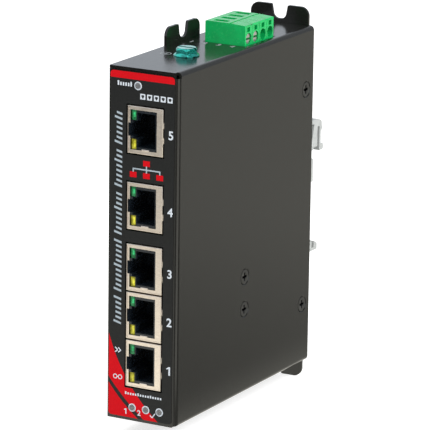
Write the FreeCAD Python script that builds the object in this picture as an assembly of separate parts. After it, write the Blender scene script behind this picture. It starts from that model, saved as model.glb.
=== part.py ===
import FreeCAD, Part
import math
import os
from FreeCAD import Vector

# A five-port DIN rail ethernet switch, in millimetres.
# While it is drawn, X runs from the left wall to the right, Y from the front face to the back
# and Z from the underside to the top. Each piece is moved at the end, so that the origin is the
# middle of the rail seat at the back of the clip.

# ---- folded sheet-metal case ----
CASE_WIDTH = 26.7
CASE_DEPTH = 95.0
CASE_HEIGHT = 122.0
SHEET = 1.0
BEND_RADIUS = 1.6            # outer radius of every fold
SHEET_GAP = 0.1              # between two sheets that lap
TOP_RELIEF = 2.0             # front fold stops this far below the top
BOTTOM_RELIEF = 0.8          # and this far above the underside
RETURN_DEPTH = 9.0           # return flange behind the right side
RETURN_INSET = 3.0           # its ends, from the top and the underside
TAB_LENGTH = 16.0            # tabs under the top and over the bottom, along Y
TAB_REACH = 20.0             # how far they reach from the left wall
SLIT = 0.5                   # relief slit at each end of a tab's fold
PAST = 1.0                   # how far a cut runs past the face it opens
STRAIGHT = 0.1               # straight left between two rounded corners

# ---- screw ears ----
EAR_WIDTH = 23.0
EAR_HEIGHT = 6.4
EAR_CORNER = 3.2
EAR_SLOT_TOP = 6.4
EAR_SLOT_BOTTOM = 4.6
EAR_SLOT_FLOOR = 1.4         # slot floor above the case
EAR_SLOT_CORNER = 0.7

# ---- front label ----
LABEL_THICKNESS = 0.2
LABEL_LEFT = 0.5
LABEL_TOP = 1.5
LABEL_BOTTOM = 1.1
LABEL_CORNER = 1.2

# ---- modular jacks, lying on their side ----
JACK_WIDTH = 13.6            # X
JACK_HEIGHT = 16.2           # Z
JACK_DEPTH = 21.0
JACK_LEFT = 7.2
JACK_PROUD = 0.35            # shield in front of the case's front face
JACK_COUNTS = [3, 1, 1]      # jacks behind each window, from the underside upwards
JACK_GAP = 0.55              # between two jacks behind one window
JACK_SHARES = [12.1, 5.05, 9.95, 12.8]  # of the free height: under, between and over the rows
JACK_BOARD_GAP = 0.1         # between a shield and the board
JACK_WINDOW_GAP = 0.5        # between a shield and its window
SHIELD_SHEET = 0.3
SHIELD_EDGE = 0.25           # rounding of the shield's front edges
OPENING_LEFT = 1.05          # shield's front opening, from the shield's left side
OPENING_WIDTH = 9.55
OPENING_BORDER = 1.3         # metal above and below the opening
PLUG_WIDTH = 11.7            # Z
PLUG_THICKNESS = 7.0         # X
PLUG_DEPTH = 13.0
LATCH_STEP_WIDTH = 6.2
LATCH_STEP = 1.6
LATCH_WIDTH = 4.5
LATCH_WALL = 0.45            # insert left beside the latch notch
INDICATOR_WIDTH = 2.15       # X
INDICATOR_HEIGHT = 3.5       # Z
INDICATOR_DEPTH = 12.0
INDICATOR_SET_BACK = 0.55    # behind the shield's front face
INDICATOR_ROUNDING = 0.7
INDICATOR_CLEARANCE = 0.05
CONTACT_COUNT = 8
CONTACT_PITCH = 1.02
CONTACT_THICKNESS = 0.3
CONTACT_WIDTH = 0.45
CONTACT_LIFT = 2.6           # spring end above the socket's right wall
CONTACT_FRONT = 2.6
CONTACT_SPRING = 8.4
CONTACT_RUN = 0.9            # from the socket's wall to the contacts' run behind it
CONTACT_TAIL = 2.9           # tail past the jack's left side
CONTACT_BACK_WALL = 2.2      # from the tails to the back of the shield
SPRING_ROOM_FRONT = 1.6      # room for the springs behind the socket's wall
SPRING_ROOM_SIDE = 0.6       # and beyond the outer contacts
SHIELD_SPRING_START = 0.3    # behind the shield's front face
SHIELD_SPRING_CREST = 0.35   # from there to the crest
SHIELD_SPRING_OUT = 0.42
SHIELD_SPRING_EDGE_OUT = 0.2
SHIELD_SPRING_LENGTH = 4.5
SHIELD_SPRING_WIDTH = 2.1
SHIELD_SPRING_EDGE_WIDTH = 1.3
SHIELD_SPRING_SPACING = 5.2
POST_RADIUS = 1.6
POST_LENGTH = 1.5
POST_DEPTH = 9.0
POST_SPACING = 11.4

# ---- circuit board ----
BOARD_THICKNESS = 1.6
BOARD_FRONT = 2.5
BOARD_BACK_GAP = 5.0
BOARD_BOTTOM = 2.5           # above the case's underside
BOARD_TOP_GAP = 3.0          # below the case's top
BOARD_HOLE_RADIUS = 1.7
HOLE_CLEARANCE = 0.1
STANDOFF_RADIUS = 2.8
STANDOFF_FRONT = 27.0
STANDOFF_BACK_INSET = 4.2    # from the board's rear edge
STANDOFF_END_INSET = 7.5     # from the board's lower and upper edges
SCREW_RADIUS = 1.5           # M3
TAPPED_CLEARANCE = 0.05      # radial, screw in its tapped hole
PAN_HEAD_RADIUS = 2.8
PAN_HEAD_HEIGHT = 1.8
PAN_HEAD_ROUNDING = 0.7
BOARD_SCREW_LENGTH = 5.0

# ---- electronics ----
CHIP_WIDTH = 14.0            # Y
CHIP_HEIGHT = 20.0           # Z
CHIP_THICKNESS = 1.5
CHIP_FRONT = 57.0
LEAD_LENGTH = 1.0
LEAD_WIDTH = 0.3
LEAD_PITCH = 0.8
LEAD_THICKNESS = 0.2
LEAD_MARGIN = 0.5            # from a chip's corner to its first lead
MAGNETICS_DEPTH = 9.4
MAGNETICS_HEIGHT = 12.7
MAGNETICS_THICKNESS = 5.9
MAGNETICS_FRONT = 32.0
CAPACITOR_RADIUS = 4.0
CAPACITOR_LENGTH = 10.2
CAPACITOR_FOOT = 1.0
CAPACITOR_BACK = 15.0        # from their middle to the case's back
CAPACITOR_BOTTOM = 58.0
CAPACITOR_PITCH = 10.0
CAPACITOR_COUNT = 3
INDUCTOR_SIZE = 10.0
INDUCTOR_THICKNESS = 4.8
INDUCTOR_CORNER = 1.7
INDUCTOR_Y = 60.0
INDUCTOR_Z = 84.0
REGULATOR_DEPTH = 6.6
REGULATOR_HEIGHT = 9.8
REGULATOR_THICKNESS = 2.3
REGULATOR_BODY = 6.9         # height of its moulded body
REGULATOR_TAB_DEPTH = 5.5
REGULATOR_TAB_THICKNESS = 0.6
REGULATOR_Y = 47.0
REGULATOR_Z = 84.0
CRYSTAL_LENGTH = 11.0
CRYSTAL_WIDTH = 4.6
CRYSTAL_THICKNESS = 3.6
CRYSTAL_Y = 78.0
CRYSTAL_Z = 36.0

# ---- status lights ----
PIPE_RADIUS = 1.0
PIPE_CLEARANCE = 0.05
PIPE_PROUD = 0.25            # in front of the label
PIPE_COLLAR_RADIUS = 1.5
PIPE_COLLAR = 0.6
PIPE_NAMES = ["status", "power_1", "power_2", "ok"]
PIPE_X = [11.1, 9.8, 15.1, 20.4]
PIPE_TOP = 5.9               # upper light below the case's top
PIPE_BOTTOM = 4.7            # lower lights above its underside
PIPE_REACH = [6.0, 6.0, 9.5, 13.0]
PIPE_LAMP_GAP = 0.1
LAMP_SIZE = 1.8
LAMP_THICKNESS = 0.7

# ---- terminal ----
POLE_COUNT = 4
POLE_PITCH = 5.08
TERMINAL_Y = 60.9            # middle of the poles
TERMINAL_LEFT = 7.7
TERMINAL_WIDTH = 15.6        # X
TERMINAL_RISE = 7.35         # left part's top above the case
TERMINAL_FALL = 0.45         # the right edge lies this much lower
TERMINAL_RIDGE = 9.4         # where the fall starts, from the left side
TERMINAL_DROP = 6.7          # body below the case's top face
TERMINAL_CUTOUT_GAP = 0.6
TERMINAL_ROUNDING = 0.3
GROOVE_WIDTH = 0.6
GROOVE_DEPTH = 0.35
NOSE_LEFT = 0.9              # from the plug's left side
NOSE_WIDTH = 6.2
NOSE_LENGTH = 8.3
ENTRY_LEFT = 2.2
ENTRY_WIDTH = 5.6
ENTRY_LENGTH = 2.5
CHAMBER_BOTTOM = 6.5         # clamp frames above the plug body's underside
FRAME_HEIGHT = 4.6
FRAME_LENGTH = 7.6
FRAME_WIDTH = 3.8
FRAME_WALL = 0.5
FRAME_NUT = 1.4
FRAME_BAR = 0.8
FRAME_LEFT = 1.9
CLAMP_THICKNESS = 0.8
CLAMP_HEIGHT = 4.0
CLAMP_CLEARANCE = 0.1
CLAMP_TRAVEL = 3.4
TIP_RADIUS = 0.9
TERMINAL_SCREW_HEAD = 1.85
TERMINAL_SCREW_HEAD_HEIGHT = 1.8
TERMINAL_SCREW_RADIUS = 1.4
TERMINAL_SCREW_SET_BACK = 0.4
SLOT_WIDTH = 0.7
SLOT_DEPTH = 0.9
WELL_CLEARANCE = 0.1
PROBE_SIZE_Y = 2.0
PROBE_SIZE_Z = 1.6
PROBE_DEPTH = 3.0
PROBE_RISE = 3.2             # above the screws' axes
PIN_SIZE = 1.0
PIN_CLEARANCE = 0.1
HEADER_WIDTH = 8.9           # X, from the board
HEADER_HEIGHT = 12.0
HEADER_WALL = 0.8
HEADER_FLOOR = 2.6
HEADER_GAP = 0.3             # to the plug's body
NOSE_CLEARANCE = 0.1

# ---- ground screw ----
GROUND_X = 14.2
GROUND_Y = 26.5
GROUND_SCREW_RADIUS = 2.0    # M4
GROUND_SCREW_LENGTH = 8.0
GROUND_FLANGE_RADIUS = 4.4
GROUND_FLANGE_RIM = 0.4
GROUND_FLANGE_HEIGHT = 1.2   # where its slope meets the hexagon
GROUND_HEX_FLATS = 7.0
GROUND_HEAD_HEIGHT = 2.9
GROUND_HEAD_CHAMFER = 0.35   # inside the flats, at the top
GROUND_SLOT_WIDTH = 1.1
GROUND_SLOT_DEPTH = 1.1
GROUND_NUT_FLATS = 7.0
GROUND_NUT_HEIGHT = 3.0

# ---- countersunk side screws ----
SIDE_SCREW_BACK = 5.1        # from the back
SIDE_SCREW_SPACING = 78.2    # along Z, about the middle
MIDDLE_SCREW_Y = 47.15
MIDDLE_SCREW_Z = 36.15
MIDDLE_SCREW_SPACING = 11.6
COUNTERSINK_RADIUS = 3.05
SIDE_HEAD_RADIUS = 2.7
SIDE_HEAD_SUNK = 0.1
SIDE_SCREW_LENGTH = 5.0
CROSS_LENGTH = 3.0
CROSS_WIDTH = 0.75
CROSS_DEPTH = 0.9

# ---- heat bracket ----
BRACKET_SHEET = 1.5
BRACKET_HEIGHT = 24.0
BRACKET_FLANGE = 17.0
BRACKET_FOLD = 0.5           # inner radius of its folds

# ---- DIN rail clip ----
RAIL_HEIGHT = 35.0
RAIL_PLANE = 7.9             # rail's front face behind the case's back
RAIL_SLOT = 1.6              # room for the rail's flange in the lower hook
RAIL_CLEARANCE = 1.0         # above and below the rail
RAIL_DROP = 3.35             # rail's middle below the case's middle
CLIP_WIDTH = 20.0
CLIP_BASE = 3.0
CLIP_TOP = 28.5              # above the rail's middle
CLIP_BOTTOM = 19.6           # below the rail's middle
CLIP_LIP = 2.5
LIP_OVERLAP = 1.5
LIP_SLOPE = 1.4
LEG_THICKNESS = 1.1
LEG_GAP = 1.6
INNER_LEG = 2.8
FOOT_OVERLAP = 0.9
FOOT_FLARE = 1.9
FOOT_HEIGHT = 2.2
HEAD_THICKNESS = 2.9
PAD_LOW = 6.1
PAD_HIGH = 14.6
RIB_RECESS = 2.6             # height of the recess above the pad
RIB_SLOPE = 0.6
HEAD_SHOULDER = 1.0          # how far the catch's head stands out, and its slope
HEAD_LEAN = 0.4
POCKET_LOW = 0.5             # pocket's front corner below the rail's ledge
POCKET_RISE = 1.5            # its back corner above the ledge, and in front of the seat
POCKET_REACH = 0.4           # its upper corner behind the seat
POCKET_ROOF = 1.5            # left above it
CLIP_EDGE = 0.3
CLIP_CORNER = 0.5
CLIP_FILLET = 0.8
CLIP_SHOULDER = 2.0
CLIP_SCREW_SPACING = 13.0
CLIP_SCREW_DROP = 4.4        # their middle below the rail's middle
CLIP_SCREW_LENGTH = 8.0
CLIP_NUT_FLATS = 5.5
CLIP_NUT_HEIGHT = 2.4

# ---- places worked out from the sizes above ----
SHEET_TOP = CASE_HEIGHT - SHEET
WALL_TOP = SHEET_TOP - SHEET_GAP
WALL_BOTTOM = SHEET + SHEET_GAP
RETURN_FACE = CASE_WIDTH - SHEET
BOARD_FACE = JACK_LEFT - JACK_BOARD_GAP
BOARD_UNDERSIDE = BOARD_FACE - BOARD_THICKNESS
BOARD_BACK = CASE_DEPTH - BOARD_BACK_GAP
BOARD_TOP = CASE_HEIGHT - BOARD_TOP_GAP
CAPACITOR_Y = CASE_DEPTH - CAPACITOR_BACK
JACK_FRONT = -JACK_PROUD
ROW_HEIGHTS = [count * (JACK_HEIGHT + JACK_GAP) - JACK_GAP for count in JACK_COUNTS]
SHARE = (CASE_HEIGHT - sum(ROW_HEIGHTS)) / sum(JACK_SHARES)
ROW_BOTTOMS = [SHARE * sum(JACK_SHARES[:n + 1]) + sum(ROW_HEIGHTS[:n]) for n in range(len(JACK_COUNTS))]
JACK_BOTTOMS = [bottom + n * (JACK_HEIGHT + JACK_GAP)
                for bottom, count in zip(ROW_BOTTOMS, JACK_COUNTS) for n in range(count)]
PIPE_Z = [CASE_HEIGHT - PIPE_TOP] + [PIPE_BOTTOM] * (len(PIPE_X) - 1)
POLES = [TERMINAL_Y + (n - (POLE_COUNT - 1) / 2) * POLE_PITCH for n in range(POLE_COUNT)]
TERMINAL_FRONT = TERMINAL_Y - POLE_COUNT * POLE_PITCH / 2
TERMINAL_BACK = TERMINAL_Y + POLE_COUNT * POLE_PITCH / 2
TERMINAL_RIGHT = TERMINAL_LEFT + TERMINAL_WIDTH
TERMINAL_TOP = CASE_HEIGHT + TERMINAL_RISE
TERMINAL_BOTTOM = CASE_HEIGHT - TERMINAL_DROP
FRAME_X = TERMINAL_LEFT + FRAME_LEFT
FRAME_RIGHT = FRAME_X + FRAME_LENGTH
SCREW_AXIS = TERMINAL_BOTTOM + CHAMBER_BOTTOM + FRAME_HEIGHT / 2
NOSE_X = TERMINAL_LEFT + NOSE_LEFT
NOSE_BOTTOM = TERMINAL_BOTTOM - NOSE_LENGTH
HEADER_TOP = TERMINAL_BOTTOM - HEADER_GAP
HEADER_BOTTOM = HEADER_TOP - HEADER_HEIGHT
PIN_X = NOSE_X + NOSE_WIDTH / 2
RAIL_Z = CASE_HEIGHT / 2 - RAIL_DROP
ORIGIN = Vector(CASE_WIDTH / 2, CASE_DEPTH + RAIL_PLANE, RAIL_Z)
RIGHT = Vector(1, 0, 0)
BACK = Vector(0, 1, 0)
UP = Vector(0, 0, 1)


# ---- shapes that many pieces use ----

def block(x_range, y_range, z_range):
    """A box between two values on each axis."""
    size = [high - low for low, high in (x_range, y_range, z_range)]
    return Part.makeBox(*size, Vector(x_range[0], y_range[0], z_range[0]))


def rod(radius, start, end):
    """A round bar from one point to another."""
    run = end - start
    return Part.makeCylinder(radius, run.Length, start, run)


def taper(start_radius, end_radius, start, end):
    """A cone's stretch from one point to another."""
    run = end - start
    return Part.makeCone(start_radius, end_radius, run.Length, start, run)


def join(shapes):
    """One solid from shapes that touch or overlap."""
    return shapes[0].multiFuse(shapes[1:]).removeSplitter()


def cut(shape, tools):
    """The shape less every tool."""
    return shape.cut(Part.makeCompound(tools))


def outline(corners):
    """A flat face inside corners given as (point, radius); radius 0 stays sharp."""
    stretches = []
    for index, (point, radius) in enumerate(corners):
        to_last = (corners[index - 1][0] - point).normalize()
        to_next = (corners[(index + 1) % len(corners)][0] - point).normalize()
        if radius == 0:
            stretches.append((point, None, point))
            continue
        half_angle = to_last.getAngle(to_next) / 2
        run = radius / math.tan(half_angle)
        inward = (to_last + to_next).normalize()
        middle = point + inward * (radius / math.sin(half_angle) - radius)
        stretches.append((point + to_last * run, middle, point + to_next * run))
    edges = []
    for index, (start, middle, end) in enumerate(stretches):
        following = stretches[(index + 1) % len(stretches)][0]
        if middle is not None:
            edges.append(Part.Arc(start, middle, end).toShape())
        if end.distanceToPoint(following) > 1e-6:
            edges.append(Part.LineSegment(end, following).toShape())
    return Part.Face(Part.Wire(edges))


def fold(corner, one_way, other_way, along):
    """A quarter-turn bend in the sheet; its outer faces would meet at the corner."""
    centre = corner + (one_way + other_way) * BEND_RADIUS
    halfway = (one_way + other_way).normalize()
    inner = BEND_RADIUS - SHEET
    outer_start = centre - other_way * BEND_RADIUS
    outer_end = centre - one_way * BEND_RADIUS
    inner_start = centre - one_way * inner
    inner_end = centre - other_way * inner
    edges = [
        Part.Arc(outer_start, centre - halfway * BEND_RADIUS, outer_end).toShape(),
        Part.LineSegment(outer_end, inner_start).toShape(),
        Part.Arc(inner_start, centre - halfway * inner, inner_end).toShape(),
        Part.LineSegment(inner_end, outer_start).toShape(),
    ]
    return Part.Face(Part.Wire(edges)).extrude(along)


def hexagon(flats, centre, along):
    """A hexagonal bar with its flats across the given distance."""
    radius = flats / math.sqrt(3)
    turns = [math.radians(60 * n) for n in range(6)]
    across = BACK if abs(along.z) > 0 else UP
    sideways = RIGHT
    points = [centre + sideways * (radius * math.cos(turn)) + across * (radius * math.sin(turn))
              for turn in turns]
    return outline([(point, 0) for point in points]).extrude(along)


def mirrored_up(shape):
    """The shape turned over about the case's middle height."""
    return shape.mirror(Vector(0, 0, CASE_HEIGHT / 2), UP)


# ---- case ----

def ear(middle, along, through):
    """An ear that rises above the case, with an open slot; middle is on the case's top line."""
    half = EAR_WIDTH / 2
    root = -BEND_RADIUS

    def at(across, rise):
        return middle + along * across + UP * rise

    slot_round = EAR_SLOT_BOTTOM / 2 - STRAIGHT
    return outline([
        (at(-half, root), 0),
        (at(-half, EAR_HEIGHT), EAR_CORNER),
        (at(-EAR_SLOT_TOP / 2, EAR_HEIGHT), EAR_SLOT_CORNER),
        (at(-EAR_SLOT_BOTTOM / 2, EAR_SLOT_FLOOR), slot_round),
        (at(EAR_SLOT_BOTTOM / 2, EAR_SLOT_FLOOR), slot_round),
        (at(EAR_SLOT_TOP / 2, EAR_HEIGHT), EAR_SLOT_CORNER),
        (at(half, EAR_HEIGHT), EAR_CORNER),
        (at(half, root), 0),
    ]).extrude(through)


def tab_fold():
    """The tab that the left wall turns in under the top, with room to cut it free."""
    low = GROUND_Y - TAB_LENGTH / 2
    high = GROUND_Y + TAB_LENGTH / 2
    room = block((-PAST, BEND_RADIUS), (low - SLIT, high + SLIT), (WALL_TOP - BEND_RADIUS, CASE_HEIGHT))
    bend = fold(Vector(0, low, WALL_TOP), RIGHT, -UP, BACK * TAB_LENGTH)
    leaf = block((BEND_RADIUS, TAB_REACH), (low, high), (WALL_TOP - SHEET, WALL_TOP))
    return room, bend, leaf


def chassis():
    """Left wall, back wall, ears, tabs and return flange, folded from one sheet."""
    wall_height = WALL_TOP - WALL_BOTTOM
    return_height = CASE_HEIGHT - 2 * RETURN_INSET
    bend_back = CASE_DEPTH - BEND_RADIUS
    return_right = RETURN_FACE
    left_wall = block((0, SHEET), (SHEET + SHEET_GAP, bend_back), (WALL_BOTTOM, WALL_TOP))
    back_wall = block((BEND_RADIUS, return_right - BEND_RADIUS), (CASE_DEPTH - SHEET, CASE_DEPTH),
                      (WALL_BOTTOM, WALL_TOP))
    left_bend = fold(Vector(0, CASE_DEPTH, WALL_BOTTOM), RIGHT, -BACK, UP * wall_height)
    right_bend = fold(Vector(return_right, CASE_DEPTH, RETURN_INSET), -RIGHT, -BACK,
                      UP * return_height)
    return_flange = block((return_right - SHEET, return_right), (bend_back - RETURN_DEPTH, bend_back),
                          (RETURN_INSET, CASE_HEIGHT - RETURN_INSET))
    side_ear = ear(Vector(0, CASE_DEPTH / 2, CASE_HEIGHT), BACK, RIGHT * SHEET)
    back_ear = ear(Vector(CASE_WIDTH / 2, CASE_DEPTH - SHEET, CASE_HEIGHT), RIGHT, BACK * SHEET)
    room, bend, leaf = tab_fold()
    left_wall = cut(left_wall, [room, mirrored_up(room)])
    body = join([left_wall, back_wall, left_bend, right_bend, return_flange,
                 side_ear, mirrored_up(side_ear), back_ear, mirrored_up(back_ear),
                 bend, leaf, mirrored_up(bend), mirrored_up(leaf)])
    ground_hole = rod(GROUND_SCREW_RADIUS + TAPPED_CLEARANCE,
                      Vector(GROUND_X, GROUND_Y, WALL_TOP - 2 * SHEET),
                      Vector(GROUND_X, GROUND_Y, CASE_HEIGHT))
    clip_holes = [rod(SCREW_RADIUS + TAPPED_CLEARANCE, place - BACK * 2 * SHEET, place + BACK)
                  for place in clip_screw_places()]
    standoff_holes = [rod(SCREW_RADIUS + TAPPED_CLEARANCE, Vector(-PAST, y, z), Vector(2 * SHEET, y, z))
                      for y, z in standoff_places()]
    side_holes = [hole for place in back_side_screws() for hole in side_screw_hole(place)]
    return cut(body, [ground_hole] + clip_holes + standoff_holes + side_holes)


def jack_windows(clearance, y_range):
    """The front openings: one for the three lower jacks and one for each upper jack."""
    x_range = (JACK_LEFT - clearance, JACK_LEFT + JACK_WIDTH + clearance)
    return [block(x_range, y_range, (bottom - clearance, bottom + height + clearance))
            for bottom, height in zip(ROW_BOTTOMS, ROW_HEIGHTS)]


def pipe_holes(y_range):
    """Round holes in the front for the light pipes."""
    return [rod(PIPE_RADIUS + PIPE_CLEARANCE, Vector(x, y_range[0], z), Vector(x, y_range[1], z))
            for x, z in zip(PIPE_X, PIPE_Z)]


def cover():
    """Right side, top, bottom and front, folded from one sheet."""
    flat_right = CASE_WIDTH - BEND_RADIUS
    flat_top = CASE_HEIGHT - BEND_RADIUS
    lap = SHEET + SHEET_GAP
    side = block((CASE_WIDTH - SHEET, CASE_WIDTH), (BEND_RADIUS, CASE_DEPTH), (BEND_RADIUS, flat_top))
    top = block((0, flat_right), (0, CASE_DEPTH), (SHEET_TOP, CASE_HEIGHT))
    bottom = block((0, flat_right), (lap, CASE_DEPTH), (0, SHEET))
    front = block((0, flat_right), (0, SHEET), (0, SHEET_TOP - SHEET_GAP))
    length = CASE_DEPTH - BEND_RADIUS
    top_bend = fold(Vector(CASE_WIDTH, BEND_RADIUS, CASE_HEIGHT), -RIGHT, -UP, BACK * length)
    bottom_bend = fold(Vector(CASE_WIDTH, BEND_RADIUS, 0), -RIGHT, UP, BACK * length)
    front_bend = fold(Vector(CASE_WIDTH, 0, BOTTOM_RELIEF), -RIGHT, BACK,
                      UP * (CASE_HEIGHT - TOP_RELIEF - BOTTOM_RELIEF))
    body = join([side, top, bottom, front, top_bend, bottom_bend, front_bend])
    reach = EAR_WIDTH / 2 + SHEET_GAP
    side_notch = block((-PAST, lap), (CASE_DEPTH / 2 - reach, CASE_DEPTH / 2 + reach),
                       (SHEET_TOP - PAST, CASE_HEIGHT + PAST))
    back_notch = block((CASE_WIDTH / 2 - reach, CASE_WIDTH / 2 + reach),
                       (CASE_DEPTH - lap, CASE_DEPTH + PAST), (SHEET_TOP - PAST, CASE_HEIGHT + PAST))
    gap = TERMINAL_CUTOUT_GAP
    terminal_hole = block((TERMINAL_LEFT - gap, TERMINAL_RIGHT + gap),
                          (TERMINAL_FRONT - gap, TERMINAL_BACK + gap),
                          (SHEET_TOP - PAST, CASE_HEIGHT + PAST))
    ground_hole = rod(GROUND_SCREW_RADIUS + 2 * HOLE_CLEARANCE,
                      Vector(GROUND_X, GROUND_Y, SHEET_TOP - PAST),
                      Vector(GROUND_X, GROUND_Y, CASE_HEIGHT + PAST))
    notches = [side_notch, mirrored_up(side_notch), back_notch, mirrored_up(back_notch)]
    side_holes = [hole for place in all_side_screws() for hole in side_screw_hole(place)]
    windows = jack_windows(JACK_WINDOW_GAP, (-PAST, SHEET + PAST)) + pipe_holes((-PAST, SHEET + PAST))
    return cut(body, notches + [terminal_hole, ground_hole] + side_holes + windows)


def front_label():
    """The printed overlay on the front face."""
    left = LABEL_LEFT
    right = CASE_WIDTH - BEND_RADIUS
    low = LABEL_BOTTOM
    high = CASE_HEIGHT - LABEL_TOP
    face = outline([
        (Vector(left, 0, low), LABEL_CORNER),
        (Vector(right, 0, low), LABEL_CORNER),
        (Vector(right, 0, high), LABEL_CORNER),
        (Vector(left, 0, high), LABEL_CORNER),
    ])
    sheet = face.extrude(BACK * -LABEL_THICKNESS)
    span = (-PAST, SHEET)
    return cut(sheet, jack_windows(JACK_WINDOW_GAP, span) + pipe_holes(span))


# ---- countersunk side screws ----

def back_side_screws():
    """Where the cover is screwed to the return flange."""
    y = CASE_DEPTH - SIDE_SCREW_BACK
    middle = CASE_HEIGHT / 2
    half = SIDE_SCREW_SPACING / 2
    return [Vector(CASE_WIDTH, y, middle - half), Vector(CASE_WIDTH, y, middle + half)]


def middle_side_screws():
    """Where the heat bracket is screwed to the right side."""
    half = MIDDLE_SCREW_SPACING / 2
    return [Vector(CASE_WIDTH, MIDDLE_SCREW_Y, MIDDLE_SCREW_Z - half),
            Vector(CASE_WIDTH, MIDDLE_SCREW_Y, MIDDLE_SCREW_Z + half)]


def all_side_screws():
    """Every countersunk screw in the right side."""
    return back_side_screws() + middle_side_screws()


def side_screw_hole(place):
    """Countersink and tapped hole, through the side and what lies behind it."""
    radius = SCREW_RADIUS + TAPPED_CLEARANCE
    sink = taper(COUNTERSINK_RADIUS, radius, place, place - RIGHT * (COUNTERSINK_RADIUS - radius))
    return sink, rod(radius, place, place - RIGHT * (SIDE_SCREW_LENGTH + PAST))


def side_screw(place):
    """A countersunk screw with a cross recess, its axis along X."""
    face = place - RIGHT * SIDE_HEAD_SUNK
    cone_length = SIDE_HEAD_RADIUS - SCREW_RADIUS
    head = taper(SIDE_HEAD_RADIUS, SCREW_RADIUS, face, face - RIGHT * cone_length)
    shank = rod(SCREW_RADIUS, face - RIGHT * cone_length, face - RIGHT * SIDE_SCREW_LENGTH)
    half_length = CROSS_LENGTH / 2
    half_width = CROSS_WIDTH / 2
    depth = (face.x - CROSS_DEPTH, face.x + PAST)
    upright = block(depth, (face.y - half_width, face.y + half_width),
                    (face.z - half_length, face.z + half_length))
    level = block(depth, (face.y - half_length, face.y + half_length),
                  (face.z - half_width, face.z + half_width))
    return cut(join([head, shank]), [upright, level])


def side_screws():
    """All four countersunk screws."""
    return Part.makeCompound([side_screw(place) for place in all_side_screws()])


# ---- modular jacks ----

def jack_block(across, depth, rise):
    """A box in a jack's own sizes: from its left side, its front face and its lower side."""
    return block([JACK_LEFT + value for value in across],
                 [JACK_FRONT + value for value in depth], rise)


def shield_spring(across, rise, outward):
    """A wedge-shaped grounding spring pressed out of the shield; outward is its direction."""
    root = Vector(JACK_LEFT + across, JACK_FRONT + SHIELD_SPRING_START, rise)
    if abs(outward.x) > 0:
        proud = SHIELD_SPRING_OUT
        width = UP * SHIELD_SPRING_WIDTH
    else:
        proud = SHIELD_SPRING_EDGE_OUT
        width = RIGHT * SHIELD_SPRING_EDGE_WIDTH
    root = root - width * 0.5
    sunk = outward * -(SHIELD_SHEET / 2)
    crest = root + BACK * SHIELD_SPRING_CREST + outward * proud
    tail = root + BACK * SHIELD_SPRING_LENGTH
    return outline([(root + sunk, 0), (root, 0), (crest, 0), (tail, 0), (tail + sunk, 0)]).extrude(width)


def jack_shield():
    """The folded metal shield, open below for the board, with its front opening."""
    outer = jack_block((0, JACK_WIDTH), (0, JACK_DEPTH), (0, JACK_HEIGHT))
    edges = [edge for edge in outer.Edges
             if all(abs(vertex.Y - JACK_FRONT) < 1e-6 for vertex in edge.Vertexes)]
    outer = outer.makeFillet(SHIELD_EDGE, edges)
    inner = jack_block((SHIELD_SHEET, JACK_WIDTH - SHIELD_SHEET), (SHIELD_SHEET, JACK_DEPTH - SHIELD_SHEET),
                       (SHIELD_SHEET, JACK_HEIGHT - SHIELD_SHEET))
    underside = jack_block((-PAST, JACK_WIDTH / 2), (SHIELD_SPRING_LENGTH, JACK_DEPTH - SHIELD_SHEET),
                           (SHIELD_SHEET, JACK_HEIGHT - SHIELD_SHEET))
    opening = jack_block((OPENING_LEFT, OPENING_LEFT + OPENING_WIDTH), (-PAST, PAST),
                         (OPENING_BORDER, JACK_HEIGHT - OPENING_BORDER))
    middle = JACK_HEIGHT / 2
    notch = jack_block((SHIELD_SHEET, OPENING_LEFT + PAST), (-PAST, PAST),
                       (middle - LATCH_WIDTH / 2, middle + LATCH_WIDTH / 2))
    shell = cut(outer, [inner, underside, opening, notch])
    half = SHIELD_SPRING_SPACING / 2
    springs = [shield_spring(JACK_WIDTH, middle + side, RIGHT) for side in (-half, half)]
    centre = JACK_WIDTH / 2
    springs += [shield_spring(centre + side, JACK_HEIGHT, UP) for side in (-half, half)]
    springs += [shield_spring(centre + side, 0, -UP) for side in (-half, half)]
    return join([shell] + springs)


def contact_strip(points):
    """A thin strip whose middle line runs through the points of a level plane."""
    pieces = []
    for start, end in zip(points, points[1:]):
        way = (end - start).normalize()
        side = UP.cross(way) * (CONTACT_THICKNESS / 2)
        reach = way * (CONTACT_THICKNESS / 2)
        corners = [start - reach - side, end + reach - side, end + reach + side, start - reach + side]
        pieces.append(outline([(corner, 0) for corner in corners]).extrude(UP * CONTACT_WIDTH))
    return join(pieces)


def jack_contacts():
    """Eight spring contacts, each running back over the insert and down through the board."""
    wall = OPENING_LEFT + OPENING_WIDTH
    back = JACK_DEPTH - CONTACT_BACK_WALL
    bend = wall + CONTACT_RUN
    route = [(wall - CONTACT_LIFT, CONTACT_FRONT + CONTACT_SPRING), (wall, CONTACT_FRONT),
             (bend, CONTACT_FRONT), (bend, back), (-CONTACT_TAIL, back)]
    strips = []
    for number in range(CONTACT_COUNT):
        offset = (number - (CONTACT_COUNT - 1) / 2) * CONTACT_PITCH - CONTACT_WIDTH / 2
        points = [Vector(JACK_LEFT + across, JACK_FRONT + depth, JACK_HEIGHT / 2 + offset)
                  for across, depth in route]
        strips.append(contact_strip(points))
    return Part.makeCompound(strips)


def jack_indicator(low):
    """One indicator window with rounded front corners; low is its lower edge."""
    front = INDICATOR_SET_BACK
    body = jack_block((OPENING_LEFT + HOLE_CLEARANCE, OPENING_LEFT + HOLE_CLEARANCE + INDICATOR_WIDTH),
                      (front, front + INDICATOR_DEPTH), (low, low + INDICATOR_HEIGHT))
    face = JACK_FRONT + front
    edges = [edge for edge in body.Edges
             if all(abs(vertex.Y - face) < 1e-6 for vertex in edge.Vertexes)
             and abs(edge.Vertexes[0].Z - edge.Vertexes[1].Z) > INDICATOR_HEIGHT / 2]
    return body.makeFillet(INDICATOR_ROUNDING, edges)


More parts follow.
